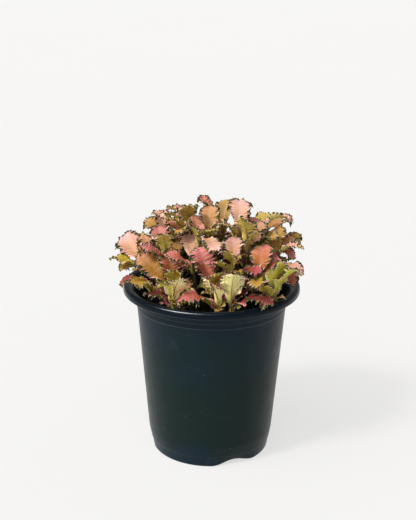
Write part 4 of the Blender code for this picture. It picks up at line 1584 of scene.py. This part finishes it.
def add_light(name, kind, place, target, strength):
    """A light at a place that shines towards a target."""
    light = bpy.data.lights.new(name, kind)
    light.energy = strength
    lamp = new_object(name, light)
    lamp.location = place
    lamp.rotation_euler = (target - place).to_track_quat("-Z", "Y").to_euler()
    return lamp


def add_sun(name, place, strength, angle):
    """A light from far away that shines from a place towards the plant."""
    lamp = add_light(name, "SUN", Vector(place), Vector(), strength)
    lamp.data.angle = angle
    lamp.data.color = SUN_COLOUR


def add_lip_light(power):
    """A square softbox that only the pot shows, as a line of light along its lip."""
    lip = Vector(LIP_POINT)
    away = Vector(LIP_LIGHT_DIRECTION).normalized() * LIP_LIGHT_DISTANCE
    lamp = add_light("lip light", "AREA", lip + away, lip, power)
    lamp.data.size = LIP_LIGHT_SIZE
    lamp.visible_diffuse = False
    lit = bpy.data.collections.new("lit by the lip light")
    lit.objects.link(bpy.data.objects["nursery_pot"])
    lamp.light_linking.receiver_collection = lit


def make_lights(scene, settings):
    """Light from all around, a very wide soft light at the upper left and a small key."""
    scene.view_settings.view_transform = "Standard"
    scene.world = bpy.data.worlds.new("studio")
    scene.world.use_nodes = True
    sky = scene.world.node_tree.nodes["Background"]
    sky.inputs["Color"].default_value = (1.0, 1.0, 1.0, 1.0)
    sky.inputs["Strength"].default_value = settings.sky
    add_sun("dome", DOME_PLACE, settings.dome_strength, settings.dome_angle)
    add_sun("key", KEY_PLACE, settings.key_strength, settings.key_angle)
    add_lip_light(settings.lip_power)


def make_camera(scene, settings):
    """The photograph's view: a long lens, looking down at the plant."""
    data = bpy.data.cameras.new("camera")
    camera = new_object("camera", data)
    turn = (
        Matrix.Rotation(CAMERA_YAW, 4, "Z")
        @ Matrix.Rotation(math.pi / 2 - settings.camera_pitch, 4, "X")
        @ Matrix.Rotation(CAMERA_ROLL, 4, "Z")
    )
    camera.matrix_world = Matrix.Translation(CAMERA_PLACE) @ turn
    data.sensor_width = SENSOR
    data.lens = SENSOR * FOCUS_PIXELS / PHOTO_HEIGHT
    data.clip_end = 50.0
    scene.camera = camera


class NERVEPLANT_PT_panel(bpy.types.Panel):
    """Makes each part of the plant"""

    bl_idname = "NERVEPLANT_PT_panel"
    bl_label = "Nerve Plant"
    bl_space_type = "VIEW_3D"
    bl_region_type = "UI"
    bl_category = "Nerve Plant"

    def draw(self, context):
        for title, part in PARTS.items():
            box = self.layout.box()
            box.label(text=title)
            group = getattr(context.scene, "nerve_plant_" + part.key)
            for name in part.settings.__annotations__:
                box.prop(group, name)
            box.operator(part.operator.bl_idname)


# One part of the plant: the name of its settings on the scene, their type and its operator
Part = collections.namedtuple("Part", "key settings operator")

PARTS = {
    "Pot": Part("pot", PotSettings, NERVEPLANT_OT_pot),
    "Soil": Part("soil", SoilSettings, NERVEPLANT_OT_soil),
    "Leaves": Part("leaf", LeafSettings, NERVEPLANT_OT_shoots),
    "Stage": Part("stage", StageSettings, NERVEPLANT_OT_stage),
}


def register():
    for part in PARTS.values():
        bpy.utils.register_class(part.settings)
        bpy.utils.register_class(part.operator)
        group = bpy.props.PointerProperty(type=part.settings)
        setattr(bpy.types.Scene, "nerve_plant_" + part.key, group)
    bpy.utils.register_class(NERVEPLANT_PT_panel)


def unregister():
    bpy.utils.unregister_class(NERVEPLANT_PT_panel)
    for part in PARTS.values():
        delattr(bpy.types.Scene, "nerve_plant_" + part.key)
        bpy.utils.unregister_class(part.operator)
        bpy.utils.unregister_class(part.settings)


def main():
    register()
    bpy.ops.nerve_plant.pot()
    bpy.ops.nerve_plant.soil()
    bpy.ops.nerve_plant.shoots()
    bpy.ops.nerve_plant.stage()


if __name__ == "__main__":
    main()
